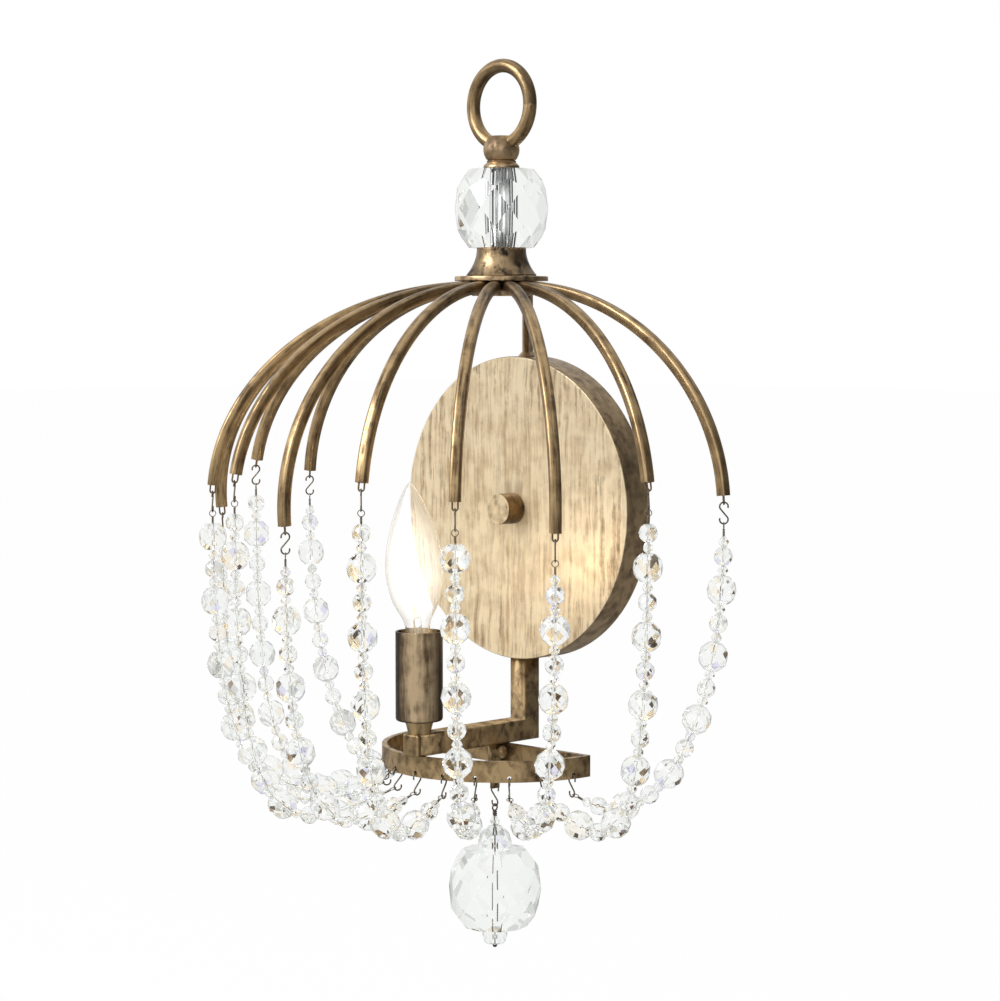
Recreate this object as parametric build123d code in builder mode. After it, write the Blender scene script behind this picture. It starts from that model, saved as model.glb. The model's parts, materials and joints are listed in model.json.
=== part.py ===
"""Crystal wall sconce: a half-cage of curved arms carrying swagged bead strands in front of a
round back plate, with one candle lamp, a lower ring and a faceted pendant.

Frame: origin on the wall plane at the centre of the back plate, +Z up, the lamp faces -Y.
All sizes are in millimetres.
"""

import math
import os

from build123d import *

# ---------------------------------------------------------------- driving dimensions

# back plate, a shallow pan that stands on the wall
pan_diameter = 178.0
pan_depth = 19.6
pan_wall = 1.2
pan_edge_radius = 1.2
pan_mid_depth = 10.2
stud_hole_clearance = 0.5

# mounting bar, stud and cap nut on the pan's axis
bar_length = 104.0
bar_width = 15.0
bar_thickness = 2.0
bar_slot_spacing = 79.4
bar_slot_length = 16.0
bar_slot_width = 5.0
stud_diameter = 6.0
stud_in_cap = 9.0
stud_nut_across = 10.0
stud_nut_height = 5.0
ground_screw_offset = 20.0
ground_screw_diameter = 3.5
ground_head_diameter = 7.0
ground_head_height = 2.2
cap_nut_diameter = 17.9
cap_nut_length = 13.4
cap_nut_bevel = 0.9
thread_clearance = 0.06
cap_nut_seat_gap = 0.15

# hub axis and levels
stand_off = 30.0
flange_underside = 132.8
flange_thickness = 2.8
flange_diameter = 54.4
flange_edge_radius = 0.8
drum_diameter = 35.0
drum_height = 8.6
drum_recess_diameter = 17.0
drum_recess_depth = 6.4

# crown: flared collar, faceted ball, turned collar, knuckle and loop
rod_diameter = 8.0
rod_clearance = 0.15
rod_nut_across = 13.0
rod_nut_height = 5.0
rod_below_nut = 1.0
flare_height = 16.4
flare_top_diameter = 28.6
flare_foot_diameter = 40.6
flare_foot_height = 1.2
ball_diameter = 54.9
ball_height = 45.4
ball_sides = 10
sleeve_diameter = 11.0
sleeve_wall = 1.2
sleeve_clearance = 0.2
collar_height = 3.9
collar_base_diameter = 20.8
collar_top_diameter = 17.6
knuckle_neck_diameter = 16.9
knuckle_neck_height = 1.5
knuckle_height = 13.8
knuckle_diameter = 21.9
knuckle_foot_diameter = 17.3
knuckle_top_diameter = 14.5
knuckle_thread_depth = 4.3
loop_outer_diameter = 53.5
loop_wire_diameter = 7.9
loop_clearance = 0.1
loop_sink = 5.3

# arms: square bar bent on a quarter ellipse
arm_width = 6.35
arm_corner_radius = 1.9
arm_reach = 154.0
arm_drop = 121.2
arm_centre_radius = 14.1
arm_spacing_angle = 18.0
arm_mitre_clearance = 0.05
arm_end_long = -0.5
arm_end_medium = 15.8
arm_end_short = 24.9
eye_wire_diameter = 1.0
eye_radius = 1.5
eye_leg = 3.1

# rear stem from the flange to the pan
stem_diameter = 6.35
stem_distance = 8.0
weld_spread = 3.2
weld_height = 2.6

# lower bracket: square tube from the pan to the lamp
tube_width = 12.7
tube_wall = 1.5
tube_corner_radius = 1.4
tube_underside = -137.3
tube_front = 104.4
tube_plug_thickness = 2.5
tube_plug_edge_radius = 1.2
lead_hole_diameter = 8.0
bushing_wall = 0.8
bushing_flange = 1.5
bushing_flange_thickness = 1.0

# lamp
lamp_distance = 97.0
neck_height = 7.3
neck_top_diameter = 16.4
neck_foot_diameter = 12.6
nipple_diameter = 9.6
nipple_bore = 6.6
nipple_in_neck = 5.5
nipple_in_socket = 6.0
nipple_clearance = 0.05
candle_diameter = 27.0
candle_height = 51.3
candle_wall = 1.1
candle_edge_radius = 2.0
socket_diameter = 20.0
socket_height = 45.0
socket_cavity = 9.0
socket_shell_diameter = 14.4
socket_shell_wall = 0.5
socket_shell_height = 19.0
socket_rim_above_shell = 0.8
contact_width = 5.0
contact_thickness = 0.6
lead_diameter = 2.2
lead_spacing = 2.8
lead_bend_radius = 4.6
lead_in_pan = 24.0
lead_spread = 10.4
lead_straight_in_pan = 6.0
lead_spread_rise = 8.0
connector_diameter = 8.0
connector_tip_diameter = 5.0
connector_length = 16.0
connector_grip = 8.0
connector_clearance = 0.1

# bulb, leaning a little in its socket
bulb_lean = 2.9
bulb_lean_azimuth = 224.0
bulb_pivot_height = -80.0
bulb_tip_rise = 98.9
bulb_glass_wall = 0.7
bulb_base_diameter = 11.9
bulb_base_height = 17.0
bulb_base_wall = 0.4
bulb_contact_diameter = 4.0
bulb_contact_height = 1.6
bulb_insulator_height = 1.8
bulb_stem_diameter = 5.0
bulb_stem_height = 22.0
filament_wire_diameter = 0.5
filament_spread = 4.4
filament_rise = 26.0

# lower ring of flat band, closed by a straight cross bar
ring_radius = 70.2
ring_thickness = 3.0
ring_height = 12.1
ring_corner_radius = 1.4
ring_hole_diameter = 2.4
ring_hole_rise = 2.5
ring_hole_angle = 16.0

# boss under the bracket, on the cross bar's inner face
boss_diameter = 8.0
boss_shoulder_depth = 13.5
boss_stem_diameter = 6.0
boss_depth = 26.6
boss_tab_thickness = 2.4
boss_tab_height = 5.0
boss_weld_radius = 4.0
boss_weld_offset = 5.0
boss_weld_drop = 4.6

# S-hooks and beading wire
hook_wire_diameter = 0.9
hook_radius = 2.3
ring_hook_radius = 2.9
hook_waist = 2.5
hook_tip_angle = 20.0
hook_play = 0.1
hook_sag = 0.2
wire_diameter = 0.5
wire_loop_radius = 1.8
wire_wrap_turns = 6
wire_wrap_height = 4.0

# beads: outer diameter, length along the bore and facet sides
bead_bore = 1.2
bead_gap = 0.35
large_bead_diameter = 16.4
large_bead_length = 14.9
medium_bead_diameter = 10.4
medium_bead_length = 9.3
small_bead_diameter = 6.0
small_bead_length = 5.7
bead_sides = 8
small_bead_sides = 6

# facet rows above and below the belt: latitude and how deep the cut goes, as a share of the radius
ball_rows = ((13.0, 0.974), (36.0, 1.017))
large_rows = ((18.0, 0.951), (45.0, 0.973))
medium_rows = ((20.0, 0.945), (46.0, 0.955))
small_rows = ((35.0, 0.84),)

# swag shape: first handle as a share of the drop, second handle and its angle below level
swag_top_share = 0.89
swag_foot_handle = 62.0
swag_foot_angle = 20.0

# pendant under the ring
pendant_wire_diameter = 1.0
pendant_bore = 1.6
pendant_loop_radius = 1.9
pendant_wrap_height = 3.2
pendant_gap = 0.15
dome_diameter = 20.2
dome_height = 13.6
dome_equator = 3.6
drop_bead_diameter = 15.0
drop_bead_length = 10.3
pendant_tip_diameter = 3.0
pendant_tip_length = 2.4

# strands from left to right: arm step from the middle, arm end height, place in the bead
# pattern where the strand starts, number of beads, turn of the upper hook about the vertical
strand_rows = [
    (-5, arm_end_medium, 1, 23, 45.0),
    (-4, arm_end_short, 2, 26, 25.0),
    (-3, arm_end_long, 1, 23, -80.0),
    (-2, arm_end_medium, 0, 24, 80.0),
    (-1, arm_end_short, 2, 26, 60.0),
    (0, arm_end_long, 1, 23, -45.0),
    (1, arm_end_short, 2, 26, 30.0),
    (2, arm_end_medium, 0, 24, 10.0),
    (3, arm_end_long, 1, 23, -10.0),
    (4, arm_end_short, 2, 26, -30.0),
    (5, arm_end_medium, 1, 23, 45.0),
]

# ---------------------------------------------------------------- derived levels and places

pan_radius = pan_diameter / 2
pan_front = -pan_depth
hub_centre = Vector(0, -stand_off, 0)
flange_top = flange_underside + flange_thickness
drum_underside = flange_underside - drum_height
arm_level = flange_underside - arm_width / 2
arm_centre_height = arm_level - arm_drop
ball_foot = flange_top + flare_height
ball_top = ball_foot + ball_height
knuckle_foot = ball_top + collar_height
barrel_foot = knuckle_foot + knuckle_neck_height
knuckle_top = barrel_foot + knuckle_height
loop_radius = (loop_outer_diameter - loop_wire_diameter) / 2
loop_centre_height = knuckle_top - loop_sink + loop_radius
rod_top = knuckle_foot + knuckle_thread_depth - rod_clearance
recess_ceiling = drum_underside + drum_recess_depth
rod_foot = recess_ceiling - rod_nut_height - rod_below_nut
tube_top = tube_underside + tube_width
tube_level = tube_underside + tube_width / 2
lamp_centre = Vector(0, -lamp_distance, 0)
candle_foot = tube_top + neck_height
candle_top = candle_foot + candle_height
socket_foot = candle_foot + candle_wall
socket_top = socket_foot + socket_height
shell_top = socket_top - socket_rim_above_shell
shell_foot = shell_top - socket_shell_height
ring_top = tube_underside
ring_foot = ring_top - ring_height
ring_hole_height = ring_foot + ring_hole_rise
ring_mid_radius = ring_radius - ring_thickness / 2
bar_inner_face = -stand_off - ring_thickness / 2
boss_centre = Vector(0, bar_inner_face - boss_diameter / 2, 0)
boss_foot = tube_underside - boss_depth
boss_hole_height = boss_foot + ring_hole_rise
hook_touch = (hook_wire_diameter + eye_wire_diameter) / 2 + hook_play
loop_touch = (hook_wire_diameter + wire_diameter) / 2 + hook_play
pendant_loop_touch = (hook_wire_diameter + pendant_wire_diameter) / 2 + hook_play


# ---------------------------------------------------------------- shared shapes

def outward(angle):
    """Unit vector in plan at an angle from straight ahead, positive to the right."""
    return Vector(math.sin(math.radians(angle)), -math.cos(math.radians(angle)), 0)


def upright_plane(foot, direction):
    """Plane through a point whose x runs along a level direction and whose y runs up."""
    return Plane(origin=foot, x_dir=direction, z_dir=direction.cross(Vector(0, 0, 1)))


def facet_plane(azimuth, latitude, distance):
    """Plane of one flat facet, facing away from the origin."""
    normal = Vector(
        math.cos(math.radians(azimuth)) * math.cos(math.radians(latitude)),
        math.sin(math.radians(azimuth)) * math.cos(math.radians(latitude)),
        math.sin(math.radians(latitude)),
    )
    return Plane(origin=normal * distance, z_dir=normal)


def faceted_ball(diameter, sides, top, foot, rows, bore):
    """Faceted ball between two flat ends, with a bore along Z.

    Each row is a latitude and a share of the radius; every other row is turned by half a facet.
    """
    facet_distance = diameter / 2 * math.cos(math.pi / sides)
    step = 360 / sides
    with BuildPart() as ball:
        with BuildSketch(Plane.XY.offset(-foot)):
            RegularPolygon(facet_distance, sides, major_radius=False)
        extrude(amount=top + foot)
        for index, (latitude, share) in enumerate(rows):
            turn = step / 2 if index % 2 == 0 else 0
            for side in range(sides):
                for sign in (1, -1):
                    cut = facet_plane(step / 2 + turn + side * step, sign * latitude, diameter / 2 * share)
                    split(bisect_by=cut, keep=Keep.BOTTOM)
        with BuildSketch(Plane.XY.offset(-foot)):
            Circle(bore / 2)
        extrude(amount=top + foot, mode=Mode.SUBTRACT)
    return ball.part


def s_hook(plane, top_radius):
    """S-hook of round wire; the plane's origin is the middle of its upper bend's crown."""
    drop = top_radius + hook_radius + hook_waist
    slope = math.asin((top_radius + hook_radius) / drop)
    lean = math.degrees(slope)
    upper_centre = (0, -top_radius)
    lower_centre = (0, -top_radius - drop)
    with BuildPart() as hook:
        with BuildLine(plane):
            upper = CenterArc(upper_centre, top_radius, -hook_tip_angle, 180 + lean + hook_tip_angle)
            lower = CenterArc(lower_centre, hook_radius, lean, -180 - lean - hook_tip_angle)
            Line(upper @ 1, lower @ 0)
        with BuildSketch(Plane(origin=upper @ 0, z_dir=upper % 0)):
            Circle(hook_wire_diameter / 2)
        sweep()
    return hook.part


def hook_foot(plane, top_radius, angle):
    """Point on the lower bend's centre line, at an angle below level."""
    drop = top_radius + hook_radius + hook_waist
    across = hook_radius * math.cos(math.radians(angle))
    down = hook_radius * math.sin(math.radians(angle))
    return plane.from_local_coords(Vector(across, -top_radius - drop - down, 0))


def wrapped_loop(touch_point, direction, side, radius, wire, height, grip):
    """Closed wire loop held at a point, with its wraps; it leaves along a direction."""
    centre = touch_point + direction * (radius - grip)
    pitch = height / wire_wrap_turns
    wrap_start = centre + direction * (radius + pitch / 2)
    with BuildPart() as loop:
        with Locations(Plane(origin=centre, x_dir=direction, z_dir=direction.cross(side))):
            Torus(radius, wire / 2)
        for turn in range(wire_wrap_turns):
            with Locations(Plane(origin=wrap_start + direction * (pitch * turn), z_dir=direction)):
                Torus(wire, pitch / 2 + 0.02)
        with BuildSketch(Plane(origin=centre + direction * radius, z_dir=direction)):
            Circle(wire)
        extrude(amount=height)
    return loop.part


def finish(piece, name):
    """Label one sub-part and write its STEP file."""
    piece.part.label = name
    export_step(piece.part, f"parts/{name}.step")


os.makedirs("parts", exist_ok=True)

# ---------------------------------------------------------------- back plate and its fixing

wall_plane = Plane(origin=(0, 0, 0), x_dir=(1, 0, 0), z_dir=(0, -1, 0))

with BuildPart() as canopy_pan:
    with BuildSketch(wall_plane):
        Circle(pan_radius)
    extrude(amount=pan_depth)
    fillet(canopy_pan.edges().sort_by(Axis.Y)[0], pan_edge_radius)
    with BuildSketch(wall_plane):
        Circle(pan_radius - pan_wall)
    extrude(amount=pan_depth - pan_wall, mode=Mode.SUBTRACT)
    with BuildSketch(wall_plane):
        Circle(stud_diameter / 2 + stud_hole_clearance)
    extrude(amount=pan_depth, mode=Mode.SUBTRACT)
    with BuildSketch(Plane(origin=(0, -pan_mid_depth, 0), z_dir=(0, 0, -1))):
        Circle(lead_hole_diameter / 2)
    extrude(amount=pan_radius, mode=Mode.SUBTRACT)
finish(canopy_pan, "canopy_pan")

with BuildPart() as mounting_bar:
    with BuildSketch(wall_plane):
        SlotOverall(bar_length, bar_width)
        with GridLocations(bar_slot_spacing, 0, 2, 1):
            SlotOverall(bar_slot_length, bar_slot_width, mode=Mode.SUBTRACT)
        Circle(stud_diameter / 2 + thread_clearance, mode=Mode.SUBTRACT)
        with Locations((ground_screw_offset, 0)):
            Circle(ground_screw_diameter / 2 + thread_clearance, mode=Mode.SUBTRACT)
    extrude(amount=bar_thickness)
finish(mounting_bar, "mounting_bar")

with BuildPart() as mounting_stud:
    with BuildSketch(wall_plane):
        Circle(stud_diameter / 2)
    extrude(amount=pan_depth + cap_nut_seat_gap + stud_in_cap)
    chamfer(mounting_stud.edges().sort_by(Axis.Y)[0], stud_diameter / 12)
    with BuildSketch(wall_plane.offset(bar_thickness)):
        RegularPolygon(stud_nut_across / 2, 6, major_radius=False)
        Circle(stud_diameter / 2 + thread_clearance, mode=Mode.SUBTRACT)
    extrude(amount=stud_nut_height)
finish(mounting_stud, "mounting_stud")

with BuildPart() as ground_screw:
    with BuildSketch(wall_plane):
        with Locations((ground_screw_offset, 0)):
            Circle(ground_screw_diameter / 2)
    extrude(amount=bar_thickness)
    with BuildSketch(wall_plane.offset(bar_thickness)):
        with Locations((ground_screw_offset, 0)):
            RegularPolygon(ground_head_diameter / 2, 6)
    extrude(amount=ground_head_height)
finish(ground_screw, "ground_screw")

with BuildPart() as cap_nut:
    with BuildSketch(wall_plane.offset(pan_depth + cap_nut_seat_gap)):
        Circle(cap_nut_diameter / 2)
    extrude(amount=cap_nut_length)
    chamfer(cap_nut.edges().sort_by(Axis.Y)[0], cap_nut_bevel)
    with BuildSketch(wall_plane.offset(pan_depth + cap_nut_seat_gap)):
        Circle(stud_diameter / 2 + thread_clearance)
    extrude(amount=stud_in_cap + cap_nut_bevel, mode=Mode.SUBTRACT)
finish(cap_nut, "cap_nut")

# ---------------------------------------------------------------- hub and crown


def hub_level(height):
    """Level plane centred on the hub axis."""
    return Plane(origin=hub_centre + Vector(0, 0, height))


def turning_plane(centre):
    """Upright plane through a vertical axis, for profiles that are turned about it."""
    return Plane(origin=centre, x_dir=(1, 0, 0), z_dir=(0, -1, 0))


with BuildPart() as hub:
    with BuildSketch(hub_level(flange_underside)):
        Circle(flange_diameter / 2)
    extrude(amount=flange_thickness)
    fillet(hub.edges().sort_by(Axis.Z)[-1], flange_edge_radius)
    with BuildSketch(hub_level(drum_underside)):
        Circle(drum_diameter / 2)
    extrude(amount=drum_height)
    with BuildSketch(hub_level(drum_underside)):
        Circle(drum_recess_diameter / 2)
    extrude(amount=drum_recess_depth, mode=Mode.SUBTRACT)
    with BuildSketch(hub_level(drum_underside)):
        Circle(rod_diameter / 2 + rod_clearance)
    extrude(amount=drum_height + flange_thickness, mode=Mode.SUBTRACT)
finish(hub, "hub")

with BuildPart() as crown_rod:
    with BuildSketch(hub_level(rod_foot)):
        Circle(rod_diameter / 2)
    extrude(amount=rod_top - rod_foot)
    with BuildSketch(hub_level(recess_ceiling - rod_nut_height)):
        RegularPolygon(rod_nut_across / 2, 6, major_radius=False)
        Circle(rod_diameter / 2 + thread_clearance, mode=Mode.SUBTRACT)
    extrude(amount=rod_nut_height)
finish(crown_rod, "crown_rod")

with BuildPart() as flared_collar:
    with BuildSketch(turning_plane(hub_centre)):
        with BuildLine():
            foot = Polyline(
                (rod_diameter / 2 + rod_clearance, flange_top),
                (flare_foot_diameter / 2, flange_top),
                (flare_foot_diameter / 2, flange_top + flare_foot_height),
            )
            head = Polyline(
                (flare_top_diameter / 2, ball_foot),
                (rod_diameter / 2 + rod_clearance, ball_foot),
                foot @ 0,
            )
            TangentArc(head @ 0, foot @ 1, tangent=(0.05, -1))
        make_face()
    revolve(axis=Axis(hub_centre, (0, 0, 1)))
finish(flared_collar, "flared_collar")

big_ball = faceted_ball(
    ball_diameter, ball_sides, ball_height / 2, ball_height / 2, ball_rows, sleeve_diameter + 2 * sleeve_clearance
)

with BuildPart() as crown_ball:
    with Locations(hub_level(ball_foot + ball_height / 2)):
        add(big_ball)
finish(crown_ball, "crown_ball")

with BuildPart() as crown_sleeve:
    with BuildSketch(hub_level(ball_foot)):
        Circle(sleeve_diameter / 2)
        Circle(sleeve_diameter / 2 - sleeve_wall, mode=Mode.SUBTRACT)
    extrude(amount=ball_height)
finish(crown_sleeve, "crown_sleeve")

with BuildPart() as ball_collar:
    with BuildSketch(turning_plane(hub_centre)):
        with BuildLine():
            inner = Polyline(
                (collar_top_diameter / 2, knuckle_foot),
                (rod_diameter / 2 + rod_clearance, knuckle_foot),
                (rod_diameter / 2 + rod_clearance, ball_top),
                (collar_base_diameter / 2, ball_top),
            )
            TangentArc(inner @ 1, inner @ 0, tangent=(0, 1))
        make_face()
    revolve(axis=Axis(hub_centre, (0, 0, 1)))
finish(ball_collar, "ball_collar")

with BuildPart() as loop_knuckle:
    with BuildSketch(turning_plane(hub_centre)):
        with BuildLine():
            neck = Polyline(
                (0, barrel_foot + knuckle_height),
                (0, knuckle_foot),
                (knuckle_neck_diameter / 2, knuckle_foot),
                (knuckle_neck_diameter / 2 - 0.7, barrel_foot),
                (knuckle_foot_diameter / 2, barrel_foot),
            )
            barrel = ThreePointArc(
                neck @ 1,
                (knuckle_diameter / 2, barrel_foot + knuckle_height / 2),
                (knuckle_top_diameter / 2, knuckle_top),
            )
            Line(barrel @ 1, neck @ 0)
        make_face()
    revolve(axis=Axis(hub_centre, (0, 0, 1)))
    with BuildSketch(hub_level(knuckle_foot)):
        Circle(rod_diameter / 2 + thread_clearance)
    extrude(amount=knuckle_thread_depth, mode=Mode.SUBTRACT)
    with Locations(Location(hub_centre + Vector(0, 0, loop_centre_height), (90, 0, 0))):
        Torus(loop_radius, loop_wire_diameter / 2 + loop_clearance, mode=Mode.SUBTRACT)
finish(loop_knuckle, "loop_knuckle")

with BuildPart() as top_loop:
    with Locations(Location(hub_centre + Vector(0, 0, loop_centre_height), (90, 0, 0))):
        Torus(loop_radius, loop_wire_diameter / 2)
finish(top_loop, "top_loop")

# ---------------------------------------------------------------- arms and their wire eyes


def arm_end_angle(end_height):
    """Ellipse angle at which an arm is cut off."""
    return math.degrees(math.asin((end_height - arm_centre_height) / arm_drop))


def arm_tip(end_height):
    """Radius from the hub axis and slope at an arm's cut end: radius, radial and vertical parts."""
    angle = math.radians(arm_end_angle(end_height))
    radius = arm_centre_radius + arm_reach * math.cos(angle)
    along = Vector(arm_reach * math.sin(angle), -arm_drop * math.cos(angle), 0).normalized()
    return radius, along.X, along.Y


def arm_bar(end_height):
    """One arm, running out along +X from the hub axis at the origin."""
    half_step = arm_spacing_angle / 2
    with BuildPart() as bar:
        with BuildLine(Plane.XZ):
            bend = EllipticalCenterArc(
                (arm_centre_radius, arm_centre_height),
                arm_reach,
                arm_drop,
                start_angle=arm_end_angle(end_height),
                arc_size=90 - arm_end_angle(end_height),
            )
        with BuildSketch(Plane(origin=bend @ 0, x_dir=(0, 1, 0), z_dir=bend % 0)):
            RectangleRounded(arm_width, arm_width, arm_corner_radius)
        sweep()
        Cylinder(drum_diameter / 2, 4 * flange_underside, mode=Mode.SUBTRACT)
        for side in (1, -1):
            edge = Vector(math.cos(math.radians(half_step)), side * math.sin(math.radians(half_step)), 0)
            normal = Vector(-side * edge.Y, side * edge.X, 0)
            split(bisect_by=Plane(origin=normal * -arm_mitre_clearance, z_dir=normal), keep=Keep.BOTTOM)
    return bar.part


def arm_azimuths(end_height):
    """Steps of the arms that end at one height."""
    return [row[0] * arm_spacing_angle for row in strand_rows if row[1] == end_height]


def arm_group(end_height):
    """All arms of one length, around the hub."""
    bar = arm_bar(end_height)
    with BuildPart() as group:
        for azimuth in arm_azimuths(end_height):
            with Locations(Location(hub_centre, (0, 0, azimuth - 90))):
                add(bar)
    return group


for arm_name, arm_height in (
    ("arms_long", arm_end_long),
    ("arms_medium", arm_end_medium),
    ("arms_short", arm_end_short),
):
    finish(arm_group(arm_height), arm_name)


def eye_crown(azimuth, end_height):
    """Point on the eye's bend where a hook hangs, on the wire's centre line."""
    radius, across, down = arm_tip(end_height)
    reach = eye_leg + eye_radius
    return (
        hub_centre
        + outward(azimuth) * (radius + across * reach)
        + Vector(0, 0, end_height + down * reach)
    )


with BuildPart() as arm_eyes:
    for step, end_height, _, _, hook_turn in strand_rows:
        azimuth = step * arm_spacing_angle
        radius, across, down = arm_tip(end_height)
        along = outward(azimuth) * across + Vector(0, 0, down)
        tip = hub_centre + outward(azimuth) * radius + Vector(0, 0, end_height)
        hook_line = outward(azimuth).rotate(Axis.Z, hook_turn)
        normal = (hook_line - along * hook_line.dot(along)).normalized()
        with BuildLine(Plane(origin=tip, x_dir=along, z_dir=normal)):
            first_leg = Line((0, eye_radius), (eye_leg, eye_radius))
            bend = CenterArc((eye_leg, 0), eye_radius, 90, -180)
            Line(bend @ 1, (0, -eye_radius))
        with BuildSketch(Plane(origin=first_leg @ 0, z_dir=first_leg % 0)):
            Circle(eye_wire_diameter / 2)
        sweep()
finish(arm_eyes, "arm_eyes")

# ---------------------------------------------------------------- rear stem

with BuildPart() as rear_stem:
    stem_centre = Vector(0, -stem_distance, 0)
    with BuildSketch(Plane(origin=stem_centre)):
        Circle(stem_diameter / 2)
    extrude(amount=flange_underside)
    with BuildSketch(Plane(origin=stem_centre + Vector(0, 0, pan_radius - pan_wall))) as weld_foot:
        Circle(stem_diameter / 2 + weld_spread)
    with BuildSketch(Plane(origin=stem_centre + Vector(0, 0, pan_radius + weld_height))):
        Circle(stem_diameter / 2 + 0.3)
    loft()
    with BuildSketch(wall_plane.offset(-pan_depth)):
        Circle(pan_radius)
    extrude(amount=3 * pan_depth, mode=Mode.SUBTRACT)
    with BuildSketch(wall_plane.offset(-pan_depth)):
        Rectangle(3 * pan_radius, 2 * flange_top)
    extrude(amount=pan_depth, mode=Mode.SUBTRACT)
finish(rear_stem, "rear_stem")

# ---------------------------------------------------------------- lower bracket

elbow = (-pan_mid_depth, tube_level)
side_plane = Plane(origin=(0, 0, 0), x_dir=(0, 1, 0), z_dir=(1, 0, 0))


def tube_path():
    """Corner line of the bracket's tube, seen from its side."""
    return Polyline((-pan_mid_depth, 0), elbow, (-tube_front + tube_plug_thickness, tube_level))


with BuildPart() as lower_bracket:
    with BuildLine(side_plane):
        tube_path()
    with BuildSketch(Plane(origin=(0, -pan_mid_depth, 0), z_dir=(0, 0, -1))):
        RectangleRounded(tube_width, tube_width, tube_corner_radius)
        Rectangle(tube_width - 2 * tube_wall, tube_width - 2 * tube_wall, mode=Mode.SUBTRACT)
    sweep(transition=Transition.RIGHT)
    with BuildSketch(wall_plane):
        Circle(pan_radius)
    extrude(amount=2 * pan_depth, mode=Mode.SUBTRACT)
    with BuildSketch(Plane(origin=lamp_centre + Vector(0, 0, tube_level))):
        Circle(nipple_bore / 2)
    extrude(amount=tube_width, mode=Mode.SUBTRACT)
finish(lower_bracket, "lower_bracket")

with BuildPart() as bracket_plug:
    with BuildSketch(Plane(origin=(0, -tube_front, tube_level), z_dir=(0, 1, 0))):
        RectangleRounded(tube_width, tube_width, tube_corner_radius)
    extrude(amount=tube_plug_thickness)
    fillet(bracket_plug.faces().sort_by(Axis.Y)[0].edges(), tube_plug_edge_radius)
finish(bracket_plug, "bracket_plug")

with BuildPart() as lead_bushing:
    flange_radius = lead_hole_diameter / 2 + bushing_flange
    bushing_seat = -math.sqrt((pan_radius - pan_wall) ** 2 - flange_radius**2)
    bushing_top = bushing_seat + bushing_flange_thickness
    with BuildSketch(Plane(origin=(0, -pan_mid_depth, bushing_top), z_dir=(0, 0, -1))):
        Circle(flange_radius)
    extrude(amount=bushing_flange_thickness)
    with BuildSketch(Plane(origin=(0, -pan_mid_depth, bushing_top), z_dir=(0, 0, -1))):
        Circle(lead_hole_diameter / 2 - thread_clearance)
    extrude(amount=bushing_top + pan_radius)
    with BuildSketch(Plane(origin=(0, -pan_mid_depth, bushing_top), z_dir=(0, 0, -1))):
        Circle(lead_hole_diameter / 2 - bushing_wall)
    extrude(amount=bushing_flange_thickness + 2 * pan_wall, mode=Mode.SUBTRACT)
finish(lead_bushing, "lead_bushing")

# ---------------------------------------------------------------- lamp


def lamp_level(height):
    """Level plane centred on the candle's axis."""
    return Plane(origin=lamp_centre + Vector(0, 0, height))


with BuildPart() as socket_neck:
    with BuildSketch(lamp_level(tube_top)):
        Circle(neck_foot_diameter / 2)
    with BuildSketch(lamp_level(candle_foot)):
        Circle(neck_top_diameter / 2)
    loft()
    with BuildSketch(lamp_level(tube_top)):
        Circle(nipple_bore / 2)
    extrude(amount=neck_height, mode=Mode.SUBTRACT)
    with BuildSketch(lamp_level(candle_foot - nipple_in_neck)):
        Circle(nipple_diameter / 2 + nipple_clearance)
    extrude(amount=nipple_in_neck, mode=Mode.SUBTRACT)
finish(socket_neck, "socket_neck")

with BuildPart() as socket_nipple:
    with BuildSketch(lamp_level(candle_foot - nipple_in_neck)):
        Circle(nipple_diameter / 2)
        Circle(nipple_bore / 2, mode=Mode.SUBTRACT)
    extrude(amount=nipple_in_neck + candle_wall + nipple_in_socket)
finish(socket_nipple, "socket_nipple")

with BuildPart() as candle_sleeve:
    with BuildSketch(lamp_level(candle_foot)):
        Circle(candle_diameter / 2)
    extrude(amount=candle_height)
    fillet(candle_sleeve.edges().sort_by(Axis.Z)[0], candle_edge_radius)
    with BuildSketch(lamp_level(socket_foot)):
        Circle(candle_diameter / 2 - candle_wall)
    extrude(amount=candle_height, mode=Mode.SUBTRACT)
    with BuildSketch(lamp_level(candle_foot)):
        Circle(nipple_diameter / 2 + nipple_clearance)
    extrude(amount=candle_wall, mode=Mode.SUBTRACT)
finish(candle_sleeve, "candle_sleeve")

with BuildPart() as lamp_socket:
    with BuildSketch(lamp_level(socket_foot)):
        Circle(socket_diameter / 2)
    extrude(amount=socket_height)
    with BuildSketch(lamp_level(socket_foot)):
        Circle(nipple_diameter / 2 + nipple_clearance)
    extrude(amount=nipple_in_socket + socket_cavity, mode=Mode.SUBTRACT)
    with BuildSketch(lamp_level(shell_foot)):
        Circle(socket_shell_diameter / 2)
    extrude(amount=socket_top - shell_foot, mode=Mode.SUBTRACT)
finish(lamp_socket, "lamp_socket")

with BuildPart() as socket_contacts:
    with BuildSketch(lamp_level(shell_foot)):
        Circle(socket_shell_diameter / 2)
        Circle(socket_shell_diameter / 2 - socket_shell_wall, mode=Mode.SUBTRACT)
    extrude(amount=socket_shell_height)
    with BuildSketch(lamp_level(shell_foot)):
        Rectangle(contact_width, contact_width)
    extrude(amount=contact_thickness)
finish(socket_contacts, "socket_contacts")

lead_top = socket_foot + nipple_in_socket + socket_cavity
connector_foot = -pan_radius + pan_wall + lead_in_pan
lead_sides = (-lead_spacing / 2, lead_spacing / 2)

lead_turn = -pan_radius + pan_wall + bushing_flange_thickness
rear_plane = Plane(origin=(0, -pan_mid_depth, 0), x_dir=(1, 0, 0), z_dir=(0, -1, 0))

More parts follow.
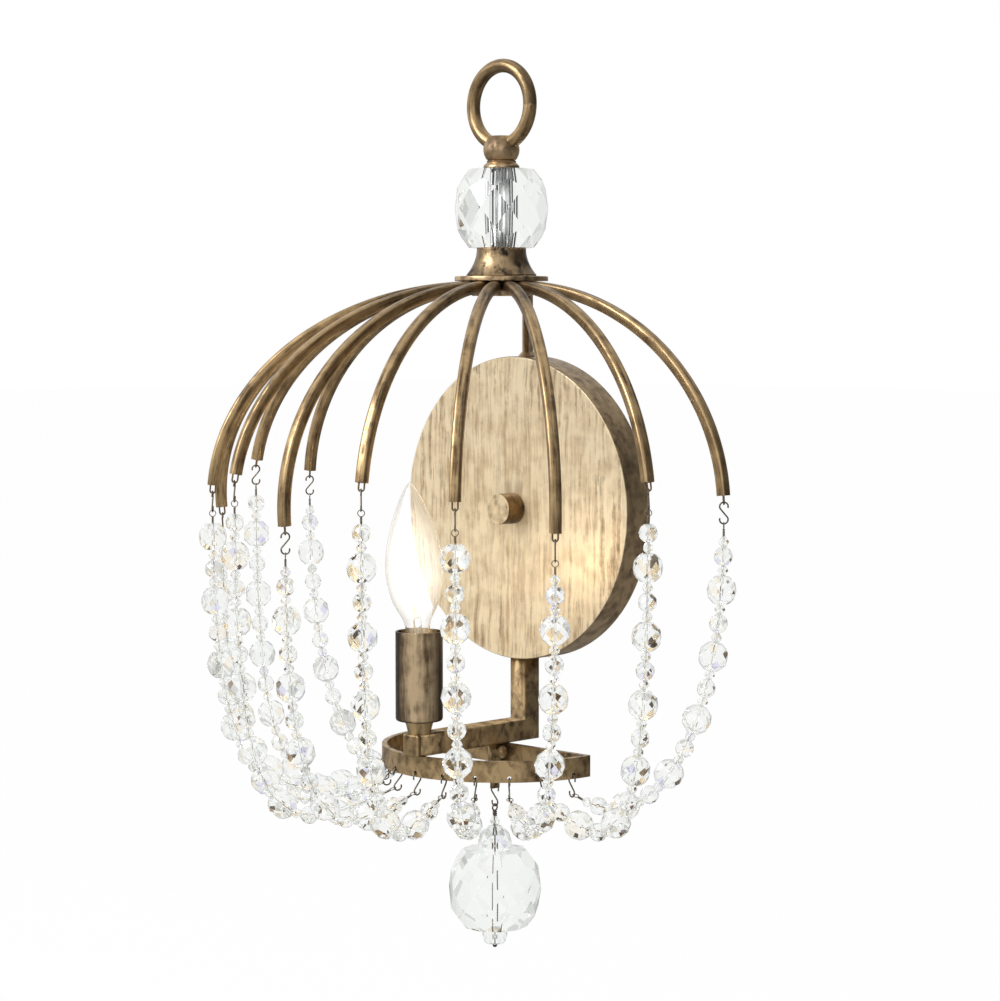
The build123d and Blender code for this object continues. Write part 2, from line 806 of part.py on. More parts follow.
with BuildPart() as socket_leads:
    for lead_side in lead_sides:
        with BuildLine(side_plane.offset(lead_side)):
            tube_run = FilletPolyline(
                (-lamp_distance, lead_top),
                (-lamp_distance, tube_level),
                elbow,
                (-pan_mid_depth, lead_turn),
                radius=lead_bend_radius,
            )
        with BuildSketch(Plane(origin=tube_run @ 0, z_dir=tube_run % 0)):
            Circle(lead_diameter / 2)
        sweep()
        with BuildLine(rear_plane):
            pan_run = FilletPolyline(
                (lead_side, lead_turn),
                (lead_side, lead_turn + lead_straight_in_pan),
                (math.copysign(lead_spread / 2, lead_side), lead_turn + lead_straight_in_pan + lead_spread_rise),
                (math.copysign(lead_spread / 2, lead_side), connector_foot + connector_grip),
                radius=lead_bend_radius,
            )
        with BuildSketch(Plane(origin=pan_run @ 0, z_dir=pan_run % 0)):
            Circle(lead_diameter / 2)
        sweep()
finish(socket_leads, "socket_leads")

with BuildPart() as lead_connectors:
    for side in (-1, 1):
        centre = Vector(side * lead_spread / 2, -pan_mid_depth, connector_foot)
        with BuildSketch(Plane(origin=centre)):
            Circle(connector_diameter / 2)
        with BuildSketch(Plane(origin=centre + Vector(0, 0, connector_length))):
            Circle(connector_tip_diameter / 2)
        loft()
        with BuildSketch(Plane(origin=centre)):
            Circle(lead_diameter / 2 + connector_clearance)
        extrude(amount=connector_grip + connector_clearance, mode=Mode.SUBTRACT)
finish(lead_connectors, "lead_connectors")

# ---------------------------------------------------------------- bulb

lean = math.radians(bulb_lean)
lean_way = Vector(math.cos(math.radians(bulb_lean_azimuth)), math.sin(math.radians(bulb_lean_azimuth)), 0)
bulb_up = Vector(0, 0, math.cos(lean)) + lean_way * math.sin(lean)
bulb_pivot = lamp_centre + Vector(0, 0, bulb_pivot_height)
bulb_side = bulb_up.cross(lean_way).normalized()
bulb_axis = Axis(bulb_pivot, bulb_up)
bulb_profile_plane = Plane(origin=bulb_pivot, x_dir=bulb_up.cross(bulb_side), z_dir=bulb_side)
base_top = bulb_base_height / 2
base_foot = -bulb_base_height / 2


def bulb_level(height):
    """Plane square to the bulb's axis, at a height along it from the pivot."""
    return Plane(origin=bulb_pivot + bulb_up * height, z_dir=bulb_up)


def glass_outline(inset):
    """Half outline of the glass, from its neck to its tip, drawn in by an inset."""
    tip = bulb_tip_rise - inset
    return Spline(
        (6.4 - inset, base_top + 0.2),
        (7.7 - inset, tip - 79.6),
        (13.9 - inset, tip - 66.4),
        (16.6 - inset, tip - 48.5),
        (14.2 - inset, tip - 31.6),
        (8.4 - inset, tip - 14.1),
        (0, tip),
        tangents=((0.1, 1), (-1, 0.55)),
    )


with BuildPart() as bulb_glass:
    for inset, mode in ((0, Mode.ADD), (bulb_glass_wall, Mode.SUBTRACT)):
        with BuildSketch(bulb_profile_plane, mode=Mode.PRIVATE) as half:
            with BuildLine():
                curve = glass_outline(inset)
                Line(curve @ 1, (0, base_top + 0.2))
                Line((0, base_top + 0.2), curve @ 0)
            make_face()
        revolve(half.sketch, axis=bulb_axis, mode=mode)
    with BuildSketch(bulb_level(base_foot)):
        Circle(bulb_base_diameter / 2 - bulb_base_wall)
    extrude(amount=bulb_insulator_height)
    with BuildSketch(bulb_level(base_foot)):
        Circle(bulb_stem_diameter / 2)
    extrude(amount=bulb_base_height / 2 + bulb_stem_height)
finish(bulb_glass, "bulb_glass")

with BuildPart() as bulb_base:
    with BuildSketch(bulb_level(base_foot)):
        Circle(bulb_base_diameter / 2)
    extrude(amount=bulb_base_height)
    with BuildSketch(bulb_level(base_foot)):
        Circle(bulb_base_diameter / 2 - bulb_base_wall)
    extrude(amount=bulb_base_height, mode=Mode.SUBTRACT)
    with BuildSketch(bulb_level(base_foot)):
        Circle(bulb_contact_diameter / 2)
    extrude(amount=-bulb_contact_height, taper=20)
finish(bulb_base, "bulb_base")

with BuildPart() as bulb_filament:
    stem_top = base_foot + bulb_base_height / 2 + bulb_stem_height
    with BuildLine(bulb_profile_plane):
        filament_line = FilletPolyline(
            (-filament_spread / 4, stem_top),
            (-filament_spread / 2, stem_top + filament_rise),
            (filament_spread / 2, stem_top + filament_rise),
            (filament_spread / 4, stem_top),
            radius=filament_spread / 4,
        )
    with BuildSketch(Plane(origin=filament_line @ 0, z_dir=filament_line % 0)):
        Circle(filament_wire_diameter / 2)
    sweep()
finish(bulb_filament, "bulb_filament")

# ---------------------------------------------------------------- lower ring and boss

with BuildPart() as lower_ring:
    with BuildSketch(hub_level(ring_foot)):
        with BuildLine():
            front = CenterArc((0, 0), ring_radius, 180, 180)
            Polyline(
                front @ 0,
                (-ring_radius, ring_thickness / 2),
                (ring_radius, ring_thickness / 2),
                front @ 1,
            )
        make_face()
    extrude(amount=ring_height)
    fillet(lower_ring.edges().filter_by(Axis.Z).group_by(Axis.Y)[-1], ring_corner_radius)
    with BuildSketch(hub_level(ring_foot)):
        with BuildLine():
            front = CenterArc((0, 0), ring_radius - ring_thickness, 180, 180)
            half_width = math.sqrt((ring_radius - ring_thickness) ** 2 - (ring_thickness / 2) ** 2)
            Line(front @ 0, front @ 1)
        make_face()
        with Locations((0, 0)):
            Rectangle(2 * ring_radius, ring_thickness, mode=Mode.SUBTRACT)
    extrude(amount=ring_height, mode=Mode.SUBTRACT)
    for row in strand_rows:
        direction = outward(row[0] * ring_hole_angle)
        origin = hub_centre + direction * (ring_radius - 2 * ring_thickness) + Vector(0, 0, ring_hole_height)
        with BuildSketch(Plane(origin=origin, z_dir=direction)):
            Circle(ring_hole_diameter / 2)
        extrude(amount=3 * ring_thickness, mode=Mode.SUBTRACT)
finish(lower_ring, "lower_ring")

with BuildPart() as pendant_boss:
    with BuildSketch(Plane(origin=boss_centre + Vector(0, 0, tube_underside), z_dir=(0, 0, -1))):
        Circle(boss_diameter / 2)
    extrude(amount=boss_shoulder_depth)
    with BuildSketch(Plane(origin=boss_centre + Vector(0, 0, tube_underside), z_dir=(0, 0, -1))):
        Circle(boss_stem_diameter / 2)
    extrude(amount=boss_depth)
    with Locations(boss_centre + Vector(boss_weld_offset, 0, tube_underside - boss_weld_drop)):
        Sphere(boss_weld_radius)
    for side in (1, -1):
        shoulder = boss_tab_thickness / 2 + boss_stem_diameter / 2
        with Locations(boss_centre + Vector(side * shoulder, 0, boss_foot + boss_tab_height / 2)):
            Box(boss_stem_diameter, 2 * boss_stem_diameter, boss_tab_height, mode=Mode.SUBTRACT)
    with Locations(Location(boss_centre + Vector(0, 0, boss_hole_height), (0, 90, 0))):
        Cylinder(ring_hole_diameter / 2, 2 * boss_stem_diameter, mode=Mode.SUBTRACT)
    with BuildSketch(hub_level(ring_foot)):
        Rectangle(2 * ring_radius, ring_thickness)
    extrude(amount=ring_height, mode=Mode.SUBTRACT)
finish(pendant_boss, "pendant_boss")

# ---------------------------------------------------------------- bead strands

bead_kinds = {
    "large": (
        large_bead_length,
        faceted_ball(
            large_bead_diameter, bead_sides, large_bead_length / 2, large_bead_length / 2, large_rows, bead_bore
        ),
    ),
    "medium": (
        medium_bead_length,
        faceted_ball(
            medium_bead_diameter, bead_sides, medium_bead_length / 2, medium_bead_length / 2, medium_rows, bead_bore
        ),
    ),
    "small": (
        small_bead_length,
        faceted_ball(
            small_bead_diameter, small_bead_sides, small_bead_length / 2, small_bead_length / 2, small_rows, bead_bore
        ),
    ),
}
bead_pattern = ("large", "small", "medium", "small")


def swag_curve(start, end, length):
    """Curve that leaves straight down and arrives from outside and below, of a given length."""
    foot_angle = math.radians(swag_foot_angle)
    foot_way = Vector(math.cos(foot_angle), -math.sin(foot_angle), 0) * swag_foot_handle
    top_way = Vector(0, -swag_top_share * (start.Y - end.Y), 0)
    shortest, longest = 0.0, 4.0
    for _ in range(40):
        slack = (shortest + longest) / 2
        curve = Edge.make_bezier(start, start + top_way * slack, end + foot_way * slack, end)
        if curve.length < length:
            shortest = slack
        else:
            longest = slack
    return curve


for number, (step, end_height, first_bead, bead_count, hook_turn) in enumerate(strand_rows, start=1):
    azimuth = step * arm_spacing_angle
    upper_touch = eye_crown(azimuth, end_height) + Vector(0, 0, hook_touch)
    upper_plane = upright_plane(upper_touch, outward(azimuth).rotate(Axis.Z, hook_turn))
    lower_way = outward(step * ring_hole_angle)
    lower_touch = hub_centre + lower_way * ring_mid_radius + Vector(0, 0, ring_hole_height - hook_sag)
    lower_plane = upright_plane(lower_touch, lower_way)
    upper_foot = hook_foot(upper_plane, hook_radius, 90)
    lower_foot = hook_foot(lower_plane, ring_hook_radius, swag_foot_angle)
    level_way = Vector(upper_foot.X - lower_foot.X, upper_foot.Y - lower_foot.Y, 0).normalized()
    strand_plane = upright_plane(Vector(lower_foot.X, lower_foot.Y, 0), level_way)
    down = Vector(0, 0, -1)
    foot_angle = math.radians(swag_foot_angle)
    away = level_way * math.cos(foot_angle) + down * math.sin(foot_angle)
    loop_reach = 2 * wire_loop_radius - loop_touch + wire_wrap_height
    names = [bead_pattern[(first_bead + place) % len(bead_pattern)] for place in range(bead_count)]
    strand_length = sum(bead_kinds[name][0] + bead_gap for name in names)
    curve_start = strand_plane.to_local_coords(upper_foot + down * loop_reach)
    curve_end = strand_plane.to_local_coords(lower_foot + away * loop_reach)
    swag = swag_curve(curve_start, curve_end, strand_length)
    stations = [swag @ 0]
    run = 0.0
    for name in names:
        run += bead_kinds[name][0] + bead_gap
        stations.append(swag @ min(run / strand_length, 1.0))

    places = {name: [] for name in bead_kinds}
    for name, first, last in zip(names, stations, stations[1:]):
        middle = strand_plane.from_local_coords((first + last) / 2)
        way = strand_plane.from_local_coords(last) - strand_plane.from_local_coords(first)
        places[name].append(Plane(origin=middle, x_dir=strand_plane.z_dir, z_dir=way))
    upper_loop = wrapped_loop(
        upper_foot, down, upper_plane.z_dir, wire_loop_radius, wire_diameter, wire_wrap_height, loop_touch
    )
    lower_loop = wrapped_loop(
        lower_foot, away, lower_plane.z_dir, wire_loop_radius, wire_diameter, wire_wrap_height, loop_touch
    )
    hooks = [s_hook(upper_plane, hook_radius), s_hook(lower_plane, ring_hook_radius)]

    with BuildPart() as beads:
        for name, (_, bead) in bead_kinds.items():
            with Locations(*places[name]):
                add(bead)
    finish(beads, f"strand_{number:02d}_beads")

    with BuildPart() as wires:
        with BuildLine(strand_plane):
            thread = Polyline(*[(station.X, station.Y) for station in stations])
        with BuildSketch(Plane(origin=thread @ 0, z_dir=thread % 0)):
            Circle(wire_diameter / 2)
        sweep(transition=Transition.RIGHT)
        add([upper_loop, lower_loop])
        add(hooks)
    finish(wires, f"strand_{number:02d}_wires")

# ---------------------------------------------------------------- pendant

pendant_hook_plane = upright_plane(boss_centre + Vector(0, 0, boss_hole_height - hook_sag), Vector(1, 0, 0))
pendant_down = Vector(0, 0, -1)

pendant_hook_shape = s_hook(pendant_hook_plane, ring_hook_radius)

with BuildPart() as pendant_hook:
    add(pendant_hook_shape)
finish(pendant_hook, "pendant_hook")

pendant_touch = hook_foot(pendant_hook_plane, ring_hook_radius, 90)
cap_top = pendant_touch.Z - (2 * pendant_loop_radius - pendant_loop_touch + pendant_wrap_height) - pendant_gap
dome_top = cap_top - small_bead_length - pendant_gap
big_ball_top = dome_top - dome_height - pendant_gap
drop_top = big_ball_top - ball_height - pendant_gap
tip_top = drop_top - drop_bead_length - pendant_gap


def pendant_level(height):
    """Level plane on the pendant's axis."""
    return Plane(origin=boss_centre + Vector(0, 0, height))


pendant_loop = wrapped_loop(
    pendant_touch,
    pendant_down,
    pendant_hook_plane.z_dir,
    pendant_loop_radius,
    pendant_wire_diameter,
    pendant_wrap_height,
    pendant_loop_touch,
)

with BuildPart() as pendant_wire:
    add(pendant_loop)
    with BuildSketch(pendant_level(tip_top - pendant_tip_length)):
        Circle(pendant_wire_diameter / 2)
    extrude(amount=cap_top + pendant_wrap_height - tip_top + pendant_tip_length)
    with BuildSketch(pendant_level(tip_top - pendant_tip_length)):
        Circle(pendant_tip_diameter / 2)
    extrude(amount=pendant_tip_length)
finish(pendant_wire, "pendant_wire")

cap_bead = faceted_ball(
    small_bead_diameter, small_bead_sides, small_bead_length / 2, small_bead_length / 2, small_rows, pendant_bore
)
dome = faceted_ball(
    dome_diameter, bead_sides, dome_height - dome_equator, dome_equator, large_rows, pendant_bore
)
hanging_ball = faceted_ball(
    ball_diameter, ball_sides, ball_height / 2, ball_height / 2, ball_rows, pendant_bore
)
drop_bead = faceted_ball(
    drop_bead_diameter, bead_sides, drop_bead_length / 2, drop_bead_length / 2, medium_rows, pendant_bore
)

with BuildPart() as pendant_dome:
    with Locations(pendant_level(dome_top - dome_height + dome_equator)):
        add(dome)
finish(pendant_dome, "pendant_dome")

with BuildPart() as pendant_ball:
    with Locations(pendant_level(big_ball_top - ball_height / 2)):
        add(hanging_ball)
finish(pendant_ball, "pendant_ball")

with BuildPart() as pendant_small_beads:
    with Locations(pendant_level(cap_top - small_bead_length / 2)):
        add(cap_bead)
    with Locations(pendant_level(drop_top - drop_bead_length / 2)):
        add(drop_bead)
finish(pendant_small_beads, "pendant_small_beads")
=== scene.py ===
"""Looks of the crystal wall sconce: a half cage of curved square bars, swagged bead strands,
one lit candle lamp and a faceted pendant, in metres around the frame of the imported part."""

import json
import logging
import math
from dataclasses import dataclass, field
from enum import Enum
from typing import Callable, Sequence

import bmesh
import bpy
from mathutils import Matrix, Vector

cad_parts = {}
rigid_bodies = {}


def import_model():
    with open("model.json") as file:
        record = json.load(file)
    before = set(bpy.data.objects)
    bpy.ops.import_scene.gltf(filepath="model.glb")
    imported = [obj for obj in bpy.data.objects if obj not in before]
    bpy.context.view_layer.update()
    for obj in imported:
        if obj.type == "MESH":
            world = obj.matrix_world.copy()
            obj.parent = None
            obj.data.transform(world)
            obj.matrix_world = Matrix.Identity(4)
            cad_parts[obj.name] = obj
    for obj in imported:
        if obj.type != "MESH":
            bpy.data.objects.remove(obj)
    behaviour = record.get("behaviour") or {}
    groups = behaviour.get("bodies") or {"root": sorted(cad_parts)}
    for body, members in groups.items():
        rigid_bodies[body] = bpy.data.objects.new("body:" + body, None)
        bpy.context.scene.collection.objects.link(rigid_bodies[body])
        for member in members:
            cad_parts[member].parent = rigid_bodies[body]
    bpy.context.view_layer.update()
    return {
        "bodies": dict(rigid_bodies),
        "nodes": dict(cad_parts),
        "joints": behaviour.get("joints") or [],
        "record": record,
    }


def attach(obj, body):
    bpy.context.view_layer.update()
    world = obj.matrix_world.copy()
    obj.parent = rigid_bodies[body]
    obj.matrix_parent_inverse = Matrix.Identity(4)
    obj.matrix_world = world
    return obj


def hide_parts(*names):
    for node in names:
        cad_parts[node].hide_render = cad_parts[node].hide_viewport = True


Socket = bpy.types.NodeSocket
Node = bpy.types.Node
Tree = bpy.types.NodeTree
Material = bpy.types.Material
Mesh = bpy.types.Mesh
Piece = bpy.types.Object
Triple = tuple[float, float, float]
Pair = tuple[float, float]
Pairs = Sequence[Pair]

log = logging.getLogger("sconce")
MM = 0.001
# Stands for a vector among a shader group's inputs.
VECTOR = "vector"
WHITE = (1.0, 1.0, 1.0)


# ---------------------------------------------------------------- node helpers

NODE_GAP = (180, 240)
NODES_PER_LINE = 12


class NodeRow:
    """Adds nodes to one tree, places them in lines and links them."""

    def __init__(self, tree: Tree) -> None:
        """Keeps the tree and starts at its upper left."""
        self.tree = tree
        self.count = 0

    def add(self, kind: str, inputs: dict[object, object] | None = None, **settings: object) -> Node:
        """Adds a node.

        Args:
            kind: Blender's name of the node type.
            inputs: what feeds each input, by the input's name or number.
            settings: node properties to set.
        Returns:
            The new node.
        """
        node = self.tree.nodes.new(kind)
        line, column = divmod(self.count, NODES_PER_LINE)
        node.location = (NODE_GAP[0] * column, -NODE_GAP[1] * line)
        self.count += 1
        for name, value in settings.items():
            setattr(node, name, value)
        for key, source in (inputs or {}).items():
            self.feed(node.inputs[key], source)
        return node

    def link(self, start: Socket, end: Socket) -> None:
        """Links one socket to another."""
        self.tree.links.new(start, end)

    def feed(self, socket: Socket, source: object) -> None:
        """Links an input to a socket or sets its plain value.

        Args:
            socket: the input.
            source: a socket, a number, text, a vector, a colour of three parts, or nothing.
        """
        if isinstance(source, Socket):
            self.link(source, socket)
        elif source is not None:
            socket.default_value = (*source, 1.0) if socket.type == "RGBA" else source

    def math(self, operation: str, first: object, second: object = None, clamp: bool = False) -> Socket:
        """Adds a Math node fed by sockets or numbers.

        Args:
            operation: the Math node's operation.
            first: a socket or a number.
            second: a socket, a number or nothing.
            clamp: keeps the result between 0 and 1.
        Returns:
            The result socket.
        """
        inputs = {0: first, 1: second}
        return self.add("ShaderNodeMath", inputs, operation=operation, use_clamp=clamp).outputs[0]

    def vector_math(self, operation: str, inputs: dict[object, object]) -> Node:
        """Adds a Vector Math node with its inputs fed."""
        return self.add("ShaderNodeVectorMath", inputs, operation=operation)

    def weighted(self, first: object, weight: float, second: object, other: float) -> Socket:
        """Adds up two values, each with its own weight.

        Args:
            first: the first value.
            weight: the first value's weight.
            second: the second value.
            other: the second value's weight.
        Returns:
            The sum.
        """
        return self.math("ADD", self.math("MULTIPLY", first, weight), self.math("MULTIPLY", second, other))

    def mix(self, factor: object, first: object, second: object, blend: str = "MIX") -> Socket:
        """Adds a colour Mix node.

        Args:
            factor: a socket or a number.
            first: a socket or a colour.
            second: a socket or a colour.
            blend: the blend type.
        Returns:
            The colour socket.
        """
        inputs = {0: factor, 6: first, 7: second}
        node = self.add("ShaderNodeMix", inputs, data_type="RGBA", blend_type=blend, clamp_factor=True)
        return node.outputs[2]

    def mix_shaders(self, factor: object, first: object, second: object) -> Socket:
        """Adds a Mix Shader node: the first shader at factor 0, the second at 1."""
        return self.add("ShaderNodeMixShader", {0: factor, 1: first, 2: second}).outputs[0]

    def colour_ramp(
        self, source: object, stops: Sequence[tuple[float, Triple]], steps: bool = False
    ) -> Socket:
        """Adds a colour ramp from a value.

        Args:
            source: the value.
            stops: position and colour of each stop.
            steps: keeps each colour plain up to the next stop.
        Returns:
            The ramp's colour socket.
        """
        node = self.add("ShaderNodeValToRGB", {0: source})
        if steps:
            node.color_ramp.interpolation = "CONSTANT"
        elements = node.color_ramp.elements
        while len(elements) < len(stops):
            elements.new(0.5)
        for element, (place, colour) in zip(elements, stops):
            element.position = place
            element.color = (*colour, 1.0)
        return node.outputs[0]

    def ramp(self, source: object, stops: Pairs) -> Socket:
        """Adds a grey ramp: its stops give a position and a grey level each."""
        return self.colour_ramp(source, [(place, (level, level, level)) for place, level in stops])

    def object_place(self) -> Socket:
        """The piece's own coordinates, in metres."""
        return self.add("ShaderNodeTexCoord").outputs["Object"]

    def attribute(self, name: str) -> Node:
        """Reads an attribute of the mesh in a material."""
        return self.add("ShaderNodeAttribute", attribute_name=name)

    def facing(self) -> Socket:
        """How far the surface turns away from the eye: 0 straight on, 1 edge on."""
        return self.add("ShaderNodeLayerWeight", {"Blend": 0.5}).outputs["Facing"]

    def parts(self, vector: Socket) -> bpy.types.NodeOutputs:
        """Splits a vector into its three numbers."""
        return self.add("ShaderNodeSeparateXYZ", {0: vector}).outputs

    def group(self, tree: Tree, inputs: dict[object, object]) -> Node:
        """Places a shader node group with its inputs fed."""
        node = self.add("ShaderNodeGroup", node_tree=tree)
        for key, source in inputs.items():
            self.feed(node.inputs[key], source)
        return node

    def bump(self, shader: Node, height: object, strength: float, depth: float) -> None:
        """Gives a shader small height differences.

        Args:
            shader: the shader.
            height: the height pattern, from 0 to 1.
            strength: how strongly it shows.
            depth: its full height in metres.
        """
        node = self.add("ShaderNodeBump", {"Strength": strength, "Distance": depth, "Height": height})
        self.link(node.outputs[0], shader.inputs["Normal"])


def shader_group(name: str, inputs: dict[str, object], outputs: Sequence[str], fill: Callable) -> Tree:
    """Builds a shader node group once.

    Args:
        name: the group's name.
        inputs: input names with their default number or colour, or VECTOR.
        outputs: output names; Color is a colour and the others are numbers.
        fill: draws the inside from a row, the input node and the output node.
    Returns:
        The node group.
    """
    if name in bpy.data.node_groups:
        return bpy.data.node_groups[name]
    tree = bpy.data.node_groups.new(name, "ShaderNodeTree")
    for label, default in inputs.items():
        if default == VECTOR:
            tree.interface.new_socket(name=label, in_out="INPUT", socket_type="NodeSocketVector")
            continue
        plain = isinstance(default, float)
        kind = "NodeSocketFloat" if plain else "NodeSocketColor"
        socket = tree.interface.new_socket(name=label, in_out="INPUT", socket_type=kind)
        socket.default_value = default if plain else (*default, 1.0)
    for label in outputs:
        kind = "NodeSocketColor" if label == "Color" else "NodeSocketFloat"
        tree.interface.new_socket(name=label, in_out="OUTPUT", socket_type=kind)
    row = NodeRow(tree)
    fill(row, row.add("NodeGroupInput"), row.add("NodeGroupOutput"))
    return tree


def scaled(row: NodeRow, vector: Socket, scale: Triple) -> Socket:
    """Scales a pattern's coordinates.

    Args:
        row: where the nodes go.
        vector: the coordinates.
        scale: factor on each axis.
    Returns:
        The scaled coordinates.
    """
    return row.add("ShaderNodeMapping", {"Scale": scale, "Vector": vector}).outputs[0]


def noise_node(
    row: NodeRow, vector: Socket, scale: float, detail: float, rough: float | None = None
) -> Node:
    """Adds a noise pattern.

    Args:
        row: where the nodes go.
        vector: the coordinates.
        scale: cells per metre.
        detail: octaves.
        rough: weight of the finer octaves; nothing keeps Blender's own.
    Returns:
        The noise node.
    """
    inputs = {"Scale": scale, "Detail": detail, "Roughness": rough, "Vector": vector}
    return row.add("ShaderNodeTexNoise", inputs)


def noise(row: NodeRow, vector: Socket, scale: float, detail: float, rough: float = 0.55) -> Socket:
    """Adds a grey noise pattern.

    Args:
        row: where the nodes go.
        vector: the coordinates.
        scale: cells per metre.
        detail: octaves.
        rough: weight of the finer octaves.
    Returns:
        The noise value.
    """
    return noise_node(row, vector, scale, detail, rough).outputs[0]


# Ramp stops are pairs of a position and a grey level.
RUBBED_STOPS = ((0.39, 0.0), (0.57, 1.0))
STAIN_STOPS = ((0.33, 1.0), (0.49, 0.0))
EDGE_WEAR_AND_HIGHLIGHT_STOPS = ((0.40, 0.25), (0.60, 1.0))
GRAIN_TINT = (0.25, 0.2, 0.15)
BARE_ROUGHNESS = 0.27
BARE_METALLIC = 0.92


def fill_patina(row: NodeRow, entry: Node, leave: Node) -> None:
    """Draws hand-rubbed patina: light rubbed metal, streaks and dark left-over stain.

    Args:
        row: where the nodes go.
        entry: the group's inputs.
        leave: the group's outputs.
    """
    place, streak_place = entry.outputs["Place"], entry.outputs["Streak place"]
    cloud = noise(row, place, 95.0, 4.0)
    speck = noise(row, place, 170.0, 5.0, 0.62)
    blotch = row.math("MULTIPLY", row.math("ADD", speck, noise(row, streak_place, 0.5, 4.0, 0.7)), 0.5)
    streak = noise(row, streak_place, 1.0, 5.0, 0.6)
    grain = noise(row, place, 1900.0, 3.0)
    light = row.ramp(row.weighted(cloud, 0.45, streak, 0.55), RUBBED_STOPS)
    base = row.mix(light, entry.outputs["Mid"], entry.outputs["Light"])
    stain = row.ramp(row.weighted(blotch, 0.6, streak, 0.4), STAIN_STOPS)
    stain = row.math("MULTIPLY", stain, entry.outputs["Stain"], clamp=True)
    colour = row.mix(stain, base, entry.outputs["Dark"])
    # Edge lightens worn bar corners, and on round faces it carries the painted highlight along the rim.
    edge = row.math("MULTIPLY", entry.outputs["Edge"], row.ramp(blotch, EDGE_WEAR_AND_HIGHLIGHT_STOPS), clamp=True)
    colour = row.mix(row.math("MULTIPLY", edge, 0.65), colour, entry.outputs["Light"])
    dust = row.mix(grain, GRAIN_TINT, (1.0, 1.0, 1.0))
    row.link(row.mix(0.25, colour, dust, "MULTIPLY"), leave.inputs["Color"])
    rough = row.weighted(stain, 0.22, grain, 0.16)
    row.link(row.math("ADD", rough, BARE_ROUGHNESS), leave.inputs["Roughness"])
    metallic = row.math("SUBTRACT", BARE_METALLIC, row.math("MULTIPLY", stain, 0.35))
    row.link(metallic, leave.inputs["Metallic"])
    row.link(row.weighted(streak, 0.6, grain, 0.4), leave.inputs["Height"])


def patina_group() -> Tree:
    """Builds the patina group that all painted metal shares.

    Returns:
        The node group.
    """
    inputs = {
        "Place": VECTOR,
        "Streak place": VECTOR,
        "Light": (0.5, 0.4, 0.25),
        "Mid": (0.3, 0.2, 0.1),
        "Dark": (0.06, 0.04, 0.025),
        "Stain": 0.8,
        "Edge": 0.0,
    }
    return shader_group("rubbed_patina", inputs, ("Color", "Roughness", "Metallic", "Height"), fill_patina)


def fill_speckle(row: NodeRow, entry: Node, leave: Node) -> None:
    """Draws a plain surface's fine colour drift and grain.

    Args:
        row: where the nodes go.
        entry: the group's inputs.
        leave: the group's outputs.
    """
    drift = noise(row, entry.outputs["Place"], 140.0, 3.0)
    grain = noise(row, entry.outputs["Place"], 1700.0, 4.0)
    tone = row.weighted(drift, 0.6, grain, 0.4)
    row.link(row.mix(tone, entry.outputs["Low"], entry.outputs["High"]), leave.inputs["Color"])
    rough = row.math("ADD", entry.outputs["Rough"], row.math("MULTIPLY", grain, 0.15))
    row.link(rough, leave.inputs["Roughness"])
    row.link(grain, leave.inputs["Height"])


def speckle_group() -> Tree:
    """Builds the group for plain metals, plastics and wire.

    Returns:
        The node group.
    """
    inputs = {"Place": VECTOR, "Low": (0.5, 0.5, 0.5), "High": (0.6, 0.6, 0.6), "Rough": 0.3}
    return shader_group("surface_speckle", inputs, ("Color", "Roughness", "Height"), fill_speckle)


# ---------------------------------------------------------------- finishes


# How fine the streaks are, in cells per metre: along and around a bar, or on each axis.
ALONG_BAR_STREAKS = (30.0, 520.0, 1.0)
EVEN_STREAKS = (170.0, 170.0, 120.0)
# How far upright strokes drift, in metres.
STROKE_BEND = 0.0045
# An arm is darker near its root; painted shade darkens what turns away from the eye; a round face is stained
# toward its rim.
DARK_ROOT_STOPS = ((0.02, 0.85), (0.50, 0.0))
FACING_SHADE_STOPS = ((0.06, 0.0), (0.50, 1.0))
RIM_STAIN_STOPS = ((0.52, 0.30), (0.88, 1.0))
# How far inside the rim, in metres, the painted highlight along the edge starts and is full.
RIM_HIGHLIGHT_INSETS = ((0.0014, 0.0), (0.0009, 1.0))
# What a path sees after more bounces than this inside glass.
DEEP_GLASS_COLOUR = (0.72, 0.73, 0.70)
DEEP_GLASS_BOUNCES = 5.5
CLEAR_FACET = (0.965, 0.975, 0.96)
HAZE_COLOUR = (0.90, 0.93, 0.91)
# Painted glints and painted dark reflections of the flashing facets (amber, pale blue, violet, smoke, brown),
# each from its share down to the next.
FACET_GLINTS = (
    (1.0, (0.98, 0.86, 0.66)),
    (0.72, (0.88, 0.92, 0.93)),
    (0.45, (0.62, 0.60, 0.86)),
    (0.30, (0.50, 0.50, 0.47)),
    (0.12, (0.90, 0.72, 0.50)),
)
# Painted shade along the bulb glass's edges, where it turns away from the eye.
GLASS_EDGE_SHADE_STOPS = ((0.06, 0.0), (0.75, 1.0))
GLASS_EDGE_SHADE_COLOUR = (0.86, 0.83, 0.79)
GLOW_HEIGHT_STOPS = ((0.0, 0.0), (0.16, 0.30), (0.36, 1.0), (0.55, 0.8), (0.86, 0.12))
GLOW_CORE_STOPS = ((0.12, 1.0), (0.62, 0.10), (0.9, 0.0))
GLOW_COLOUR = (1.0, 0.955, 0.87)
# The bright tube inside the ball: its painted reflection bands across, its painted shade toward the ends and
# one over its half length in metres.
TUBE_REFLECTION_BAND_STOPS = ((0.04, 1.0), (0.13, 0.85), (0.24, 0.16), (0.60, 0.05), (0.85, 0.30))
TUBE_END_SHADE_STOPS = ((0.30, 1.0), (0.62, 0.30))
TUBE_SHARE = 44.0


class StreakWay(Enum):
    """Which way the streaks of a patina run."""

    UPRIGHT = "upright"
    ALONG_BAR = "along_bar"
    EVEN = "even"


